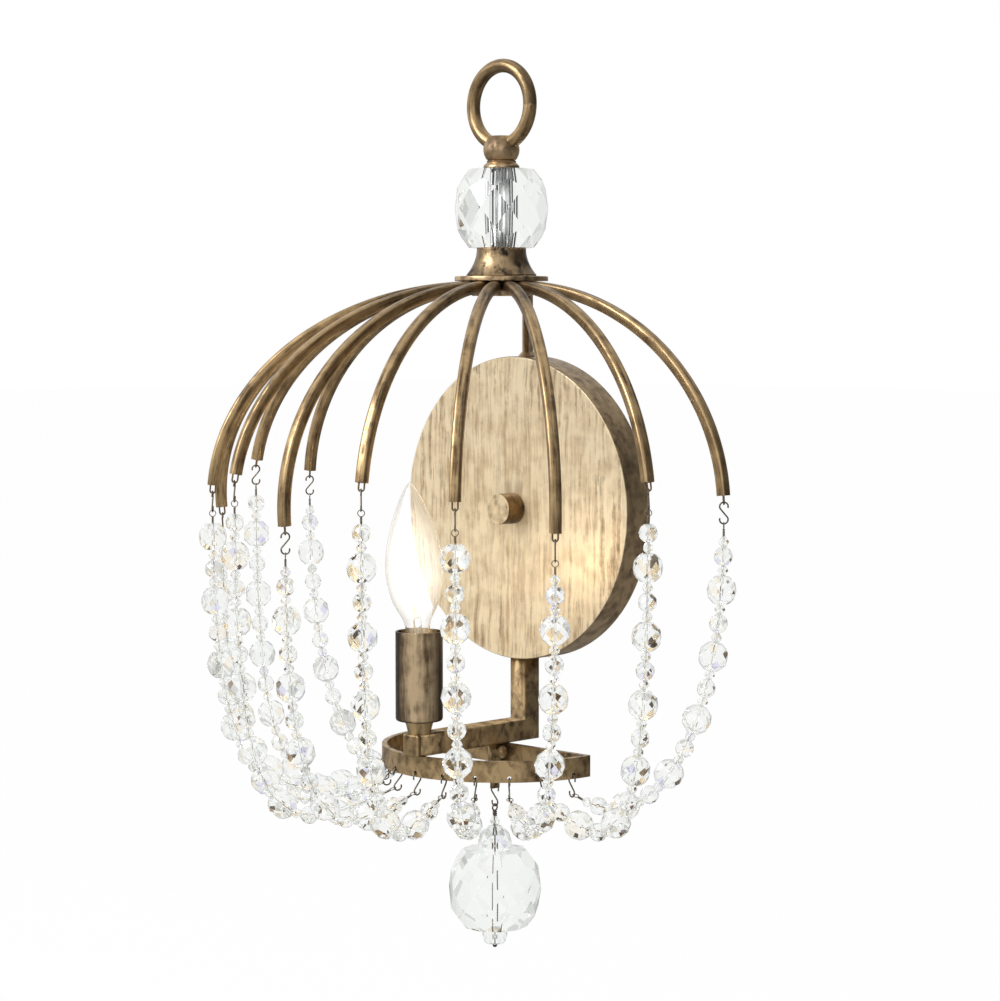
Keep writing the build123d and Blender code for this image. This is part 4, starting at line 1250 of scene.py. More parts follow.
@dataclass(frozen=True)
class CutBead:
    """A cut bead with a bore along Z, in millimetres."""

    name: str
    diameter: float
    top: float
    foot: float
    sides: int
    bore: float
    rows: tuple[FacetRow, ...]

    def mesh(self) -> Mesh:
        """Cuts the bead from a prism, facet by facet.

        Returns:
            The bead, with its middle at the origin.
        """
        step = 2 * math.pi / self.sides
        work = bmesh.new()
        foot, top = (
            [work.verts.new((*polar(self.diameter / 2, side * step), height)) for side in range(self.sides)]
            for height in (-self.foot, self.top)
        )
        for face in (foot[::-1], top, *band(foot, top)):
            work.faces.new(face)
        for index, facet in enumerate(self.rows):
            shift = step if index % 2 == 0 else step / 2
            for side in range(self.sides):
                for sign in (1, -1):
                    latitude = math.radians(sign * facet.latitude)
                    x, y = polar(1.0, shift + side * step)
                    normal = Vector((x * math.cos(latitude), y * math.cos(latitude), math.sin(latitude)))
                    self.slice(work, normal, self.diameter / 2 * facet.share)
        self.drill(work)
        bmesh.ops.recalc_face_normals(work, faces=work.faces)
        bmesh.ops.scale(work, vec=(MM, MM, MM), verts=work.verts)
        mesh = bpy.data.meshes.new(self.name)
        work.to_mesh(mesh)
        work.free()
        return mesh

    def slice(self, work: bmesh.types.BMesh, normal: Vector, distance: float) -> None:
        """Cuts one facet.

        Args:
            work: the bead so far.
            normal: the facet's outward direction.
            distance: how far from the middle it lies.
        """
        every = work.verts[:] + work.edges[:] + work.faces[:]
        cut = bmesh.ops.bisect_plane(
            work, geom=every, dist=1e-5, plane_co=normal * distance, plane_no=normal, clear_outer=True
        )
        edges = [item for item in cut["geom_cut"] if isinstance(item, bmesh.types.BMEdge)]
        if len(edges) > 2:
            bmesh.ops.contextual_create(work, geom=edges)

    def drill(self, work: bmesh.types.BMesh) -> None:
        """Opens the bore between the two flat ends.

        Args:
            work: the cut bead.
        """
        rings = []
        for height in (-self.foot, self.top):
            ends = [face for face in work.faces if self.is_end(face, height)]
            corners = {vert for face in ends for vert in face.verts}
            outer = sorted(corners, key=lambda vert: math.atan2(vert.co.y, vert.co.x))
            bmesh.ops.delete(work, geom=ends, context="FACES_ONLY")
            angles = [math.atan2(vert.co.y, vert.co.x) for vert in outer]
            inner = [work.verts.new((*polar(self.bore / 2, angle), height)) for angle in angles]
            for face in band(outer, inner):
                work.faces.new(face)
            rings.append(inner)
        if len(rings[0]) == len(rings[1]):
            for face in band(*rings):
                work.faces.new(face)

    @staticmethod
    def is_end(face: bmesh.types.BMFace, height: float) -> bool:
        """Tells whether a face is the flat end at a height."""
        level = abs(abs(face.normal.z) - 1) < 1e-3
        return level and abs(face.calc_center_median().z - height) < 1e-3


# The sine that scatters facet chances, then the steps along hooks, loops and wraps.
SCATTER_STEP, SCATTER_SEED, SCATTER_GAIN = 12.9898, 78.233, 43758.5453
HOOK_STEPS = 18
LOOP_STEPS = 28
WRAP_STEPS = 12
WRAP_REACH = 0.95
BALL_ROWS = (FacetRow(13.0, 0.974), FacetRow(36.0, 1.017))
LARGE_ROWS = (FacetRow(18.0, 0.951), FacetRow(45.0, 0.973))
MEDIUM_ROWS = (FacetRow(20.0, 0.945), FacetRow(46.0, 0.955))
SMALL_ROWS = (FacetRow(35.0, 0.84),)
LARGE_BEAD = CutBead("large_bead", 16.4, 7.45, 7.45, 8, 1.2, LARGE_ROWS)
MEDIUM_BEAD = CutBead("medium_bead", 10.4, 4.65, 4.65, 8, 1.2, MEDIUM_ROWS)
SMALL_BEAD = CutBead("small_bead", 6.0, 2.85, 2.85, 6, 1.2, SMALL_ROWS)
# The repeating pattern of a strand: kind of bead (0 large, 1 medium, 2 small) and its length on the thread.
BEAD_PATTERN = ((0.0, 14.9), (2.0, 5.7), (1.0, 9.3), (2.0, 5.7))
CROWN_BALL = CutBead("crown_cut_ball", 54.9, 22.7, 22.7, 10, 11.4, BALL_ROWS)
CAP_BEAD = CutBead("pendant_cap_bead", 6.0, 2.85, 2.85, 6, 1.6, SMALL_ROWS)
DOME_BEAD = CutBead("pendant_cut_dome", 20.2, 10.0, 3.6, 8, 1.6, LARGE_ROWS)
PENDANT_BALL = CutBead("pendant_cut_ball", 54.9, 22.7, 22.7, 10, 1.6, BALL_ROWS)
END_BEAD = CutBead("pendant_end_bead", 15.0, 5.15, 5.15, 8, 1.6, MEDIUM_ROWS)


def mark_facets(mesh: Mesh, seed: int) -> None:
    """Gives each facet of a single cut piece its own chance value, scattered by a large sine.

    Args:
        mesh: the cut piece.
        seed: a fixed number that varies the result.
    """
    values = mesh.attributes.new("facet_chance", "FLOAT", "FACE")
    for number in range(len(mesh.polygons)):
        wave = math.sin(number * SCATTER_STEP + seed * SCATTER_SEED)
        values.data[number].value = (wave * SCATTER_GAIN) % 1.0


@dataclass(frozen=True)
class HookShape:
    """An S-hook of round wire in an upright plane: bend radii and waist in millimetres, tip in degrees."""

    top_radius: float
    foot_radius: float = 2.3
    waist: float = 2.5
    tip: float = 20.0

    @property
    def drop(self) -> float:
        """Distance between the two bend centres."""
        return self.top_radius + self.foot_radius + self.waist

    def path(self, crown: Vector, way: Vector) -> list[Vector]:
        """Centre line of the hook.

        Args:
            crown: top of the upper bend, in metres.
            way: level direction of the hook's plane.
        Returns:
            Points along the wire.
        """
        lean = math.degrees(math.asin((self.top_radius + self.foot_radius) / self.drop))
        sweep = 180 + lean + self.tip
        shares = [sweep * step / HOOK_STEPS for step in range(HOOK_STEPS + 1)]
        flat: list[Pair] = []
        for share in shares:
            x, z = polar(self.top_radius, math.radians(-self.tip + share))
            flat.append((x, -self.top_radius + z))
        for share in shares:
            x, z = polar(self.foot_radius, math.radians(lean - share))
            flat.append((x, -self.top_radius - self.drop + z))
        return [crown + way * (x * MM) + Vector((0, 0, z * MM)) for x, z in flat]

    def foot(self, crown: Vector, way: Vector, angle: float) -> Vector:
        """Point on the lower bend.

        Args:
            crown: top of the upper bend, in metres.
            way: level direction of the hook's plane.
            angle: degrees below level.
        Returns:
            The point.
        """
        across, below = polar(self.foot_radius, math.radians(angle))
        down = self.top_radius + self.drop + below
        return crown + way * (across * MM) - Vector((0, 0, down * MM))


def loop_path(
    touch: Vector,
    way: Vector,
    side: Vector,
    radius: float,
    wire: float,
    wraps: float,
    grip: float,
    turns: int = 6,
) -> list[Vector]:
    """Centre line of a wire loop that ends in tight wraps round its own neck.

    Args:
        touch: where the loop holds on.
        way: direction in which it leaves.
        side: direction across the loop.
        radius: loop radius in millimetres.
        wire: wire diameter in millimetres.
        wraps: length of the wraps in millimetres.
        grip: how far the loop reaches past the touch point.
        turns: number of wraps.
    Returns:
        Points along the wire.
    """
    along = way.normalized()
    axis = along.cross(side).normalized()
    across = axis.cross(along)
    centre = touch + along * ((radius - grip) * MM)
    points = []
    for step in range(LOOP_STEPS + 1):
        angle = 2 * math.pi * step / LOOP_STEPS
        spot = along * math.cos(angle) + across * math.sin(angle)
        points.append(centre + spot * (radius * MM))
    start = centre + along * (radius * MM)
    for step in range(turns * WRAP_STEPS + 1):
        angle = 2 * math.pi * step / WRAP_STEPS
        lift = wraps * step / (turns * WRAP_STEPS)
        ring = across * math.sin(angle) + axis * math.cos(angle)
        points.append(start + along * (lift * MM) + ring * (wire * WRAP_REACH * MM))
    return points


# ---------------------------------------------------------------- sub-assemblies

UP = Vector((0, 0, 1))
STAND_OFF = 30.0
FLANGE_FOOT = 132.8
FLANGE_TOP = 135.6
BALL_FOOT = 152.0
BALL_TOP = 197.4
TUBE_TOP = -124.6
TOWARD_ROOM = Vector((0, -1, 0))

# Steps along drawn curves.
RING_STEPS = 96
ARM_STEPS = 56
EYE_STEPS = 14
CURVE_STEPS = 400
FIT_ROUNDS = 40
PENDANT_TURNS = 3
# Degrees between neighbouring arms.
ARM_SPACING = 18.0
# A strand's seed is its number times this, so that turned beads and flashes differ between strands.
SEED_SPACING = 7

# Profiles: radius and height of each point in millimetres.
KNUCKLE_FOOT = ((0.0, 201.35), (8.45, 201.35), (8.6, 201.9), (7.9, 202.5), (7.7, 202.8))
KNUCKLE_TOP = ((6.9, 216.3), (6.2, 216.55), (0.0, 216.6))
COLLAR_FOOT = ((0.0, 197.4), (10.2, 197.4), (10.4, 197.7))
COLLAR_TOP = ((8.3, 201.3), (0.0, 201.3))
FLARE_FOOT = ((0.0, FLANGE_TOP), (20.2, FLANGE_TOP), (20.3, 135.9), (20.3, 136.6), (20.0, 136.9))
FLARE_TOP = ((14.1, 152.0), (0.0, 152.0))
HUB_PROFILE = (
    (0.0, 130.6), (8.5, 130.6), (8.5, 124.3), (9.0, 124.2), (17.0, 124.2), (17.5, 124.7), (17.5, 132.4),
    (17.8, 132.8), (26.9, 132.8), (27.2, 133.1), (27.2, 134.9), (27.0, 135.35), (26.4, 135.6), (0.0, 135.6),
)
SLEEVE_PROFILE = ((4.3, BALL_FOOT), (5.5, BALL_FOOT), (5.5, BALL_TOP), (4.3, BALL_TOP), (4.3, BALL_FOOT))
KNOB_FOOT = ((0.0, 28.6), (3.06, 28.6), (3.06, 19.75), (8.9, 19.75), (8.95, 20.0), (8.95, 32.2))
NECK_TAPER = ((6.6, -124.0), (7.1, -121.5), (7.7, -119.4), (8.1, -118.2))
# Inside the bulb, measured from the middle of its screw base.
STEM_PROFILE = (
    (0.0, -8.4), (5.5, -8.4), (5.5, -6.7), (2.5, -6.7), (2.5, 4.0), (2.2, 14.0), (2.4, 19.0), (1.9, 21.4),
    (0.0, 22.0),
)
CONTACT_PROFILE = ((0.0, -10.1), (1.3, -10.1), (1.9, -9.2), (2.0, -8.5), (0.0, -8.5))
# The glass: its neck by height, and its body by the distance below its tip.
GLASS_FOOT = ((6.3, 2.0), (6.4, 8.7))
GLASS_BODY = (
    (7.7, 79.6), (10.6, 73.7), (13.9, 66.4), (15.9, 57.4), (16.6, 48.5), (15.95, 40.2), (14.2, 31.6),
    (11.5, 21.9), (8.4, 13.6), (4.6, 5.6), (1.9, 1.5), (0.0, 0.0), (-1.9, 1.5),
)
# The knot below the last bead, by the distance below its top.
KNOT_PROFILE = ((0.0, 2.4), (0.9, 2.3), (1.5, 1.2), (1.2, 0.2), (0.0, 0.0))


def outward(angle: float) -> Vector:
    """Level direction at an angle from straight ahead, positive to the right."""
    turn = math.radians(angle)
    return Vector((math.sin(turn), -math.cos(turn), 0))


def hub_point(radius: float, angle: float, height: float) -> Vector:
    """Point around the hub axis, from millimetres to metres."""
    return (Vector((0, -STAND_OFF, height)) + outward(angle) * radius) * MM


def shares(steps: int) -> list[float]:
    """Even steps from 0 to 1."""
    return [step / steps for step in range(steps + 1)]


def cut_piece(bead: CutBead, seed: int, middle: Vector) -> Mesh:
    """Cuts a single bead or ball.

    Args:
        bead: its shape.
        seed: a fixed number that varies the facets' flashes.
        middle: where its middle goes, in metres.
    Returns:
        The mesh at its place.
    """
    mesh = bead.mesh()
    mark_facets(mesh, seed)
    mesh.transform(Matrix.Translation(middle))
    return mesh


@dataclass
class Crown:
    """Top ring, knuckle, collars, cut ball and hub; sizes in millimetres."""

    shop: Workshop
    loop_radius: float = 22.8
    loop_wire: float = 7.9
    loop_height: float = 234.1

    def ring_path(self) -> list[Vector]:
        """Centre line of the top ring.

        Returns:
            Points around the ring, the last one on the first.
        """
        ring = []
        for step in range(RING_STEPS + 1):
            x, z = polar(self.loop_radius, 2 * math.pi * step / RING_STEPS)
            ring.append(Vector((x, -STAND_OFF, self.loop_height + z)) * MM)
        return ring

    @staticmethod
    def knuckle_profile() -> list[Pair]:
        """Outline of the barrel-shaped knuckle, from its foot up."""
        barrel = [
            (8.5 + (7.25 - 8.5) * t + 2.6 * (1 - (2 * t - 1) ** 2), 202.8 + 13.1 * t) for t in shares(12)
        ]
        return [*KNUCKLE_FOOT, *barrel, *KNUCKLE_TOP]

    @staticmethod
    def collar_profile() -> list[Pair]:
        """Outline of the small turned collar, from its foot up."""
        neck = [(10.4 - 1.8 * t * t + 0.35 * math.sin(math.pi * t), 197.7 + 3.2 * t) for t in shares(8)]
        return [*COLLAR_FOOT, *neck, *COLLAR_TOP]

    @staticmethod
    def flare_profile() -> list[Pair]:
        """Outline of the flared collar, from its foot up."""
        flare = [(14.3 + 5.6 * (1 - t) ** 2.1, 137.0 + 14.7 * t) for t in shares(16)[1:]]
        return [*FLARE_FOOT, *flare, *FLARE_TOP]

    def build(self) -> None:
        """Builds and dresses every piece of the crown."""
        shop = self.shop
        foot = Vector((0, -STAND_OFF * MM, 0))
        piece = shop.sweep("top_ring", [self.ring_path()], GOLD_BAR, self.loop_wire * MM, sides=28)
        shop.settle(piece, "fixture", "top_loop")
        for name, profile, finish, node, angle in (
            ("ring_knuckle", self.knuckle_profile(), GOLD_CAST, "loop_knuckle", 40),
            ("small_collar", self.collar_profile(), GOLD_CAST, "ball_collar", 40),
            ("flared_foot", self.flare_profile(), FLARE_CAST, "flared_collar", 35),
            ("hub_flange", HUB_PROFILE, GOLD_CAST, "hub", 35),
        ):
            shop.turn(name, profile, foot, finish, "fixture", node, angle=angle)
        ball = cut_piece(CROWN_BALL, 3, hub_point(0, 0, (BALL_FOOT + BALL_TOP) / 2))
        shop.place(CROWN_BALL.name, ball, BALL_CRYSTAL, "fixture", "crown_ball")
        shop.turn(
            "bright_inner_sleeve", SLEEVE_PROFILE, foot, BRIGHT_SLEEVE, "fixture", "crown_sleeve", count=48
        )


class ArmLength(Enum):
    """Height at which an arm is cut off, in millimetres."""

    LONG = -0.5
    MEDIUM = 15.8
    SHORT = 24.9


@dataclass(frozen=True)
class StrandPlan:
    """One bead strand: its arm, where the bead pattern starts, bead count and hook turn."""

    number: int
    step: int
    length: ArmLength
    first: int
    count: int
    hook_turn: float

    @property
    def azimuth(self) -> float:
        """Angle of the arm from straight ahead."""
        return self.step * ARM_SPACING

    @property
    def body(self) -> str:
        """The body that the strand is."""
        return f"strand_{self.number:02d}"

    @property
    def hook_way(self) -> Vector:
        """Level direction of the upper hook and of the eye that carries it."""
        return Matrix.Rotation(math.radians(self.hook_turn), 3, "Z") @ outward(self.azimuth)


STRANDS = (
    StrandPlan(1, -5, ArmLength.MEDIUM, 1, 23, 45.0),
    StrandPlan(2, -4, ArmLength.SHORT, 2, 26, 25.0),
    StrandPlan(3, -3, ArmLength.LONG, 1, 23, -80.0),
    StrandPlan(4, -2, ArmLength.MEDIUM, 0, 24, 80.0),
    StrandPlan(5, -1, ArmLength.SHORT, 2, 26, 60.0),
    StrandPlan(6, 0, ArmLength.LONG, 1, 23, -45.0),
    StrandPlan(7, 1, ArmLength.SHORT, 2, 26, 30.0),
    StrandPlan(8, 2, ArmLength.MEDIUM, 0, 24, 10.0),
    StrandPlan(9, 3, ArmLength.LONG, 1, 23, -10.0),
    StrandPlan(10, 4, ArmLength.SHORT, 2, 26, -30.0),
    StrandPlan(11, 5, ArmLength.MEDIUM, 1, 23, 45.0),
)


@dataclass
class ArmCage:
    """Eleven curved square bars and the wire eyes in their ends; sizes in millimetres.

    An arm follows a quarter ellipse of the given reach and drop around a centre beside the hub.
    """

    shop: Workshop
    width: float = 6.35
    corner: float = 1.9
    reach: float = 154.0
    drop: float = 121.2
    centre_radius: float = 14.1
    root: float = 3.0
    eye_leg: float = 3.1
    eye_radius: float = 1.5
    eye_sunk: float = 0.4

    @property
    def centre_height(self) -> float:
        """Height of the ellipse's middle."""
        return FLANGE_FOOT - self.width / 2 - self.drop

    def end_angle(self, length: ArmLength) -> float:
        """Angle on the ellipse, in radians, where an arm is cut off."""
        return math.asin((length.value - self.centre_height) / self.drop)

    def tip(self, length: ArmLength) -> Triple:
        """Radius, outward slope and downward slope at a cut end."""
        angle = self.end_angle(length)
        across, down = self.reach * math.sin(angle), -self.drop * math.cos(angle)
        size = math.hypot(across, down)
        return self.centre_radius + self.reach * math.cos(angle), across / size, down / size

    def arm_path(self, plan: StrandPlan) -> list[Vector]:
        """Centre line of one arm, from the drum to its cut end.

        Args:
            plan: the strand that hangs from the arm.
        Returns:
            Points along the arm, in metres.
        """
        start, end = math.acos(self.root / self.reach), self.end_angle(plan.length)
        points = []
        for step in range(ARM_STEPS + 1):
            angle = start + (end - start) * step / ARM_STEPS
            radius = self.centre_radius + self.reach * math.cos(angle)
            points.append(hub_point(radius, plan.azimuth, self.centre_height + self.drop * math.sin(angle)))
        return points

    def eye_crown(self, plan: StrandPlan) -> Vector:
        """Lowest point of an arm's wire eye."""
        radius, across, down = self.tip(plan.length)
        far = self.eye_leg + self.eye_radius
        return hub_point(radius + across * far, plan.azimuth, plan.length.value + down * far)

    def eye_path(self, plan: StrandPlan) -> list[Vector]:
        """Centre line of one wire eye.

        Args:
            plan: the strand that hangs from the eye.
        Returns:
            Points along the wire, in metres.
        """
        radius, across, down = self.tip(plan.length)
        along = outward(plan.azimuth) * across + UP * down
        tip = hub_point(radius, plan.azimuth, plan.length.value)
        line = plan.hook_way
        side = (line - along * line.dot(along)).normalized().cross(along)
        points = [tip + side * (self.eye_radius * MM) - along * (self.eye_sunk * MM)]
        for step in range(EYE_STEPS + 1):
            angle = math.radians(90 - 180 * step / EYE_STEPS)
            forward = self.eye_leg + self.eye_radius * math.cos(angle)
            points.append(tip + along * (forward * MM) + side * (self.eye_radius * math.sin(angle) * MM))
        points.append(tip - side * (self.eye_radius * MM) - along * (self.eye_sunk * MM))
        return points

    def build(self) -> None:
        """Builds the arms of each length and the eyes."""
        for length in ArmLength:
            paths = [self.arm_path(plan) for plan in STRANDS if plan.length is length]
            node = f"arms_{length.name.lower()}"
            piece = self.shop.sweep(
                f"curved_{node}", paths, GOLD_BAR, self.width * MM, self.corner * MM, smooth=50
            )
            self.shop.settle(piece, "fixture", node)
        eyes = self.shop.sweep("wire_eyes", [self.eye_path(plan) for plan in STRANDS], EYE_WIRE, MM, sides=12)
        self.shop.settle(eyes, "fixture", "arm_eyes")


@dataclass
class BackPlate:
    """Pan and cap nut; sizes in millimetres, heights measured from the wall into the room."""

    shop: Workshop
    radius: float = 89.0
    depth: float = 19.6
    wall: float = 1.2
    bore: float = 3.5

    def two_tone(
        self,
        name: str,
        mesh: Mesh,
        finishes: Sequence[PatinaFinish],
        front: int,
        slope: float,
        depth: float,
    ) -> Piece:
        """Gives the front face of a turned piece another finish than its sides.

        Args:
            name: the piece's name.
            mesh: its mesh.
            finishes: the finish of each of its two slots.
            front: which slot the front face takes.
            slope: how straight toward the room a front face looks at least.
            depth: how far from the wall it lies at least, in metres.
        Returns:
            The piece.
        """
        piece = new_object(name, mesh, *(self.shop.finish(finish) for finish in finishes))
        for face in mesh.polygons:
            is_front = face.normal.y < -slope and face.center.y < -depth
            face.material_index = front if is_front else 1 - front
        return piece

    def build(self) -> None:
        """Builds and dresses the back plate."""
        origin = Vector((0, 0, 0))
        inner, back, r = self.radius - self.wall, self.depth - self.wall, self.radius
        profile = [(self.bore, back), (inner, back), (inner, 0.0), (r, 0.0)]
        profile += rounded((r, 10), (r, self.depth), (40, self.depth), 1.2)
        profile += [(60.0, self.depth), (self.bore, self.depth), (self.bore, back)]
        mesh = lathe("round_pan", profile, origin, TOWARD_ROOM, 35, 192)
        pan = self.two_tone("round_pan", mesh, (PAN_FACE, PAN_RIM), 0, 0.75, self.depth * MM * 0.99)
        self.shop.settle(pan, "fixture", "canopy_pan")
        knob = [*KNOB_FOOT, *rounded((8.95, 31), (8.95, 33.15), (7, 33.15), 0.7, 3), (7.9, 33.1), (0.0, 33.1)]
        mesh = lathe("round_cap_nut", knob, origin, TOWARD_ROOM, 30, 72)
        nut = self.two_tone("round_cap_nut", mesh, (KNOB_SIDE, KNOB_FACE), 1, 0.3, 32.0 * MM)
        self.shop.settle(nut, "knob", "cap_nut")


@dataclass
class Candle:
    """Neck, candle sleeve, and the bulb that leans a little; sizes in millimetres, angles in degrees."""

    shop: Workshop
    distance: float = 97.0
    foot: float = -117.3
    top: float = -66.0
    outer: float = 13.5
    inner: float = 12.4
    floor: float = 1.1
    neck_bore: float = 3.4
    sleeve_bore: float = 4.9
    lean: float = 2.9
    lean_azimuth: float = 224.0
    pivot_height: float = -80.0
    tip: float = 98.9
    glass_wall: float = 0.7

    def glass_curve(self, inset: float) -> list[Pair]:
        """Half outline of the glass from neck to tip, a smooth curve through its key points.

        Args:
            inset: how far it is drawn in, for the glass's inner face.
        Returns:
            Radius and height of each point.
        """
        tip = self.tip - inset
        keys = [*GLASS_FOOT, *((radius, tip - below) for radius, below in GLASS_BODY)]
        points = []
        for number in range(1, len(keys) - 2):
            p0, p1, p2, p3 = (Vector(keys[number + shift]) for shift in (-1, 0, 1, 2))
            square, cube = 2 * p0 - 5 * p1 + 4 * p2 - p3, 3 * p1 - p0 - 3 * p2 + p3
            for t in shares(6)[:-1]:
                spot = 0.5 * (2 * p1 + (p2 - p0) * t + square * t**2 + cube * t**3)
                points.append((max(spot.x - inset, 0.05), spot.y))
        return [*points, (0.0, tip)]

    def sleeve_profile(self) -> list[Pair]:
        """Outline of the candle sleeve with its round lower edge.

        Returns:
            Radius and height of each point.
        """
        lower = rounded((5, self.foot), (self.outer, self.foot), (self.outer, -100), 2.0, 8)
        return [
            (self.sleeve_bore, self.foot), *lower,
            (self.outer, self.top - 0.25), (self.outer - 0.25, self.top),
            (self.inner + 0.2, self.top), (self.inner, self.top - 0.2),
            (self.inner, self.foot + self.floor), (self.sleeve_bore, self.foot + self.floor),
            (self.sleeve_bore, self.foot),
        ]

    def build(self) -> None:
        """Builds and dresses the lamp."""
        shop = self.shop
        foot = Vector((0, -self.distance * MM, 0))
        start, end = (self.neck_bore, TUBE_TOP), (self.neck_bore, self.foot)
        neck = [start, (6.5, TUBE_TOP), *NECK_TAPER, (8.2, self.foot), end, start]
        shop.turn("tapered_neck", neck, foot, GOLD_LOWER, "fixture", "socket_neck", angle=40, count=64)
        sleeve = self.sleeve_profile()
        shop.turn("candle_tube", sleeve, foot, CANDLE_PAINT, "fixture", "candle_sleeve", angle=40)
        lean, way = math.radians(self.lean), math.radians(self.lean_azimuth)
        up = Vector((math.cos(way) * math.sin(lean), math.sin(way) * math.sin(lean), math.cos(lean)))
        pivot = Vector((0, -self.distance, self.pivot_height)) * MM
        glass = self.glass_curve(0.0) + self.glass_curve(self.glass_wall)[::-1]
        thread = [(5.73 + 0.2 * math.sin(step * math.pi / 3), -8.4 + 16.7 * step / 48) for step in range(49)]
        base = [(5.5, -8.5), (5.6, -8.5), *thread, (5.6, 8.5), (5.5, 8.5), (5.5, -8.5)]
        for name, profile, finish, node, angle, count in (
            ("candle_bulb_glass", [*glass, glass[0]], BULB_GLASS, "bulb_glass", 60, 72),
            ("bulb_inner_stem", STEM_PROFILE, BULB_GLASS, "bulb_glass", 50, 32),
            ("screw_base", base, NICKEL, "bulb_base", 60, 48),
            ("base_contact", CONTACT_PROFILE, NICKEL, "bulb_base", 40, 24),
        ):
            shop.turn(name, profile, pivot, finish, "bulb", node, up, angle, count)


@dataclass(frozen=True)
class StrandPlane:
    """A strand's own upright plane: a point below its lower hook, and its level direction."""

    base: Vector
    level: Vector

    def flat(self, point: Vector) -> Vector:
        """Point in the plane, in millimetres."""
        return Vector(((point - self.base).dot(self.level), point.z)) / MM

    def solid(self, point: Vector) -> Vector:
        """Point of the plane, back in metres."""
        return self.base + self.level * (point.x * MM) + UP * (point.y * MM)


